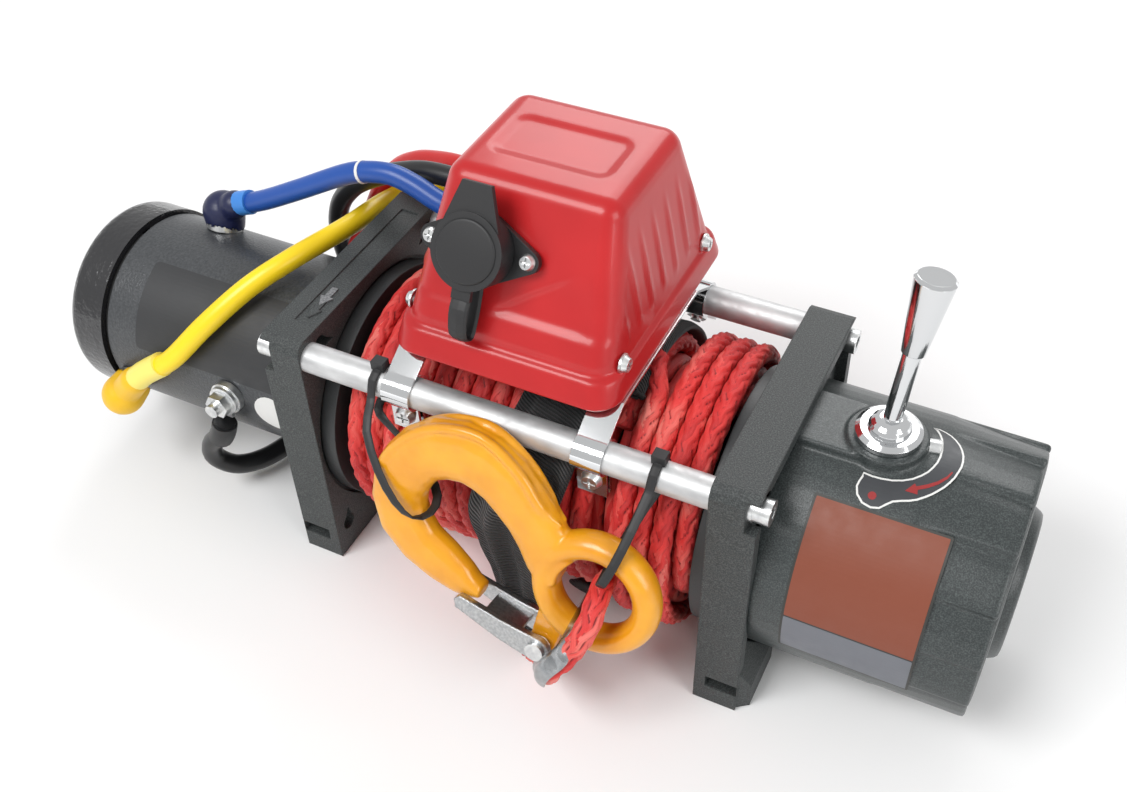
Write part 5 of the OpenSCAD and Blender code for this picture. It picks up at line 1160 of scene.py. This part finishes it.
# The cables: four motor leads with smooth soft jackets, each with its collar at the terminal.
# They run over the motor side support and into the grommet of the control box.
cable_radius = 0.006
leads = {
    "yellow": ((0.98, 0.70, 0.012), "yellow_cable", [
        (-250, -66, 79), (-240, -64, 88), (-220, -60, 102), (-200, -46, 124), (-182, -24, 141), (-166, 0, 150),
        (-154, 34, 151), (-150, 66, 148), (-140, 86, 148), (-122, 92, 152), (-104, 84, 162), (-90, 68, 171),
        (-79, 56, 176), (-70, 53, 177), (-60, 53, 177), (-48, 53, 177)]),
    "blue": ((0.010, 0.075, 0.36), "blue_cable", [
        (-230, 28.4, 148.3), (-209, 30, 156), (-180, 32, 171), (-150, 35, 187), (-134, 36, 193),
        (-118, 37, 195), (-104, 37, 192), (-90, 36, 187), (-79, 36, 184), (-60, 36, 184), (-48, 36, 184)]),
    "black": ((0.010, 0.010, 0.011), "black_cable", [
        (-187.7, -65.2, 69.8), (-191, -66, 60), (-203, -66, 46), (-207, -64, 31), (-200, -56, 19), (-191, -40, 14),
        (-184, -15, 13), (-182, 15, 13), (-184, 42, 20), (-189, 58, 36), (-192, 69, 58), (-191, 72, 82),
        (-190, 69, 104), (-186, 65, 124), (-178, 62, 143), (-165, 60, 159), (-149, 58, 171), (-130, 56, 181),
        (-108, 54, 189), (-84, 53, 191), (-60, 53, 191), (-48, 53, 191)]),
    "red": ((0.56, 0.012, 0.012), "red_cable", [
        (-174, 62, 106), (-171.5, 68, 115), (-168, 75, 127), (-161, 81, 145), (-149, 84, 161), (-133, 82, 172),
        (-115, 78, 179), (-98, 73, 184), (-84, 70, 184), (-60, 70, 184), (-48, 70, 184)]),
}
for tone_name, (colour, cad_name, points) in leads.items():
    jacket = base_material(f"{tone_name}_jacket", colour, 0.34)
    add_grain(jacket, 300, 0.10, 0.0003)
    lead = round_rod(f"{tone_name}_lead", mm(points), cable_radius, 8, resolution=7)
    lead.data.materials.append(jacket)
    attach(lead, "frame")
    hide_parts(cad_name)
    finish_nodes(jacket, cad_name)

# The collars and crimps at the terminals are short sleeves pressed over the jackets.
# A white ring marks the blue cable where it comes to the cover.
collars = [
    ("yellow_collar", (0.93, 0.78, 0.16), "cable_yellow", 0.0073,
     [(-247, -65.6, 81.6), (-240, -64, 88), (-227, -61.6, 97.4)]),
    ("blue_collar", (0.045, 0.23, 0.66), "cable_blue", 0.0072,
     [(-231, 28.3, 147.9), (-225, 28.8, 150.2), (-217, 29.4, 153)]),
    ("black_crimp", (0.015, 0.015, 0.016), "cable_black", 0.0072,
     [(-187.9, -65.3, 69), (-190, -66, 62.5), (-194, -66, 55.8)]),
    ("red_crimp", (0.45, 0.010, 0.010), "cable_red", 0.0071,
     [(-173.7, 62.6, 107), (-171.5, 68, 115), (-169.6, 71.8, 121.2)]),
    ("white_ring", (0.80, 0.80, 0.78), "cable_blue", 0.0064, [(-137, 35.9, 192), (-135.2, 35.95, 192.6)]),
]
for name, colour, slot, radius, points in collars:
    sleeve = base_material(f"{name}_sleeve", colour, 0.42)
    add_grain(sleeve, 260, 0.12, 0.0003)
    collar = round_rod(name, mm(points), radius, 4, resolution=7)
    collar.data.materials.append(sleeve)
    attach(collar, "frame")

# Soft boots over the motor's two upper studs, one yellow and one navy.
# Each is moulded in one piece and pushed on, so its corners are round and its surface is matt.
for name, cad_name, colour, slot in (
    ("yellow_boot_skin", "yellow_boot", (0.86, 0.50, 0.010), "yellow_rubber"),
    ("blue_boot_skin", "blue_boot", (0.004, 0.008, 0.050), "blue_rubber"),
):
    boot = remade(name, cad_name, voxel=0.0007, smooth=6)
    rubber = base_material(f"{cad_name}_rubber", colour, 0.40)
    add_grain(rubber, 260, 0.14, 0.0003)
    boot.data.materials.append(rubber)
    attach(boot, "frame")
    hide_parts(cad_name)
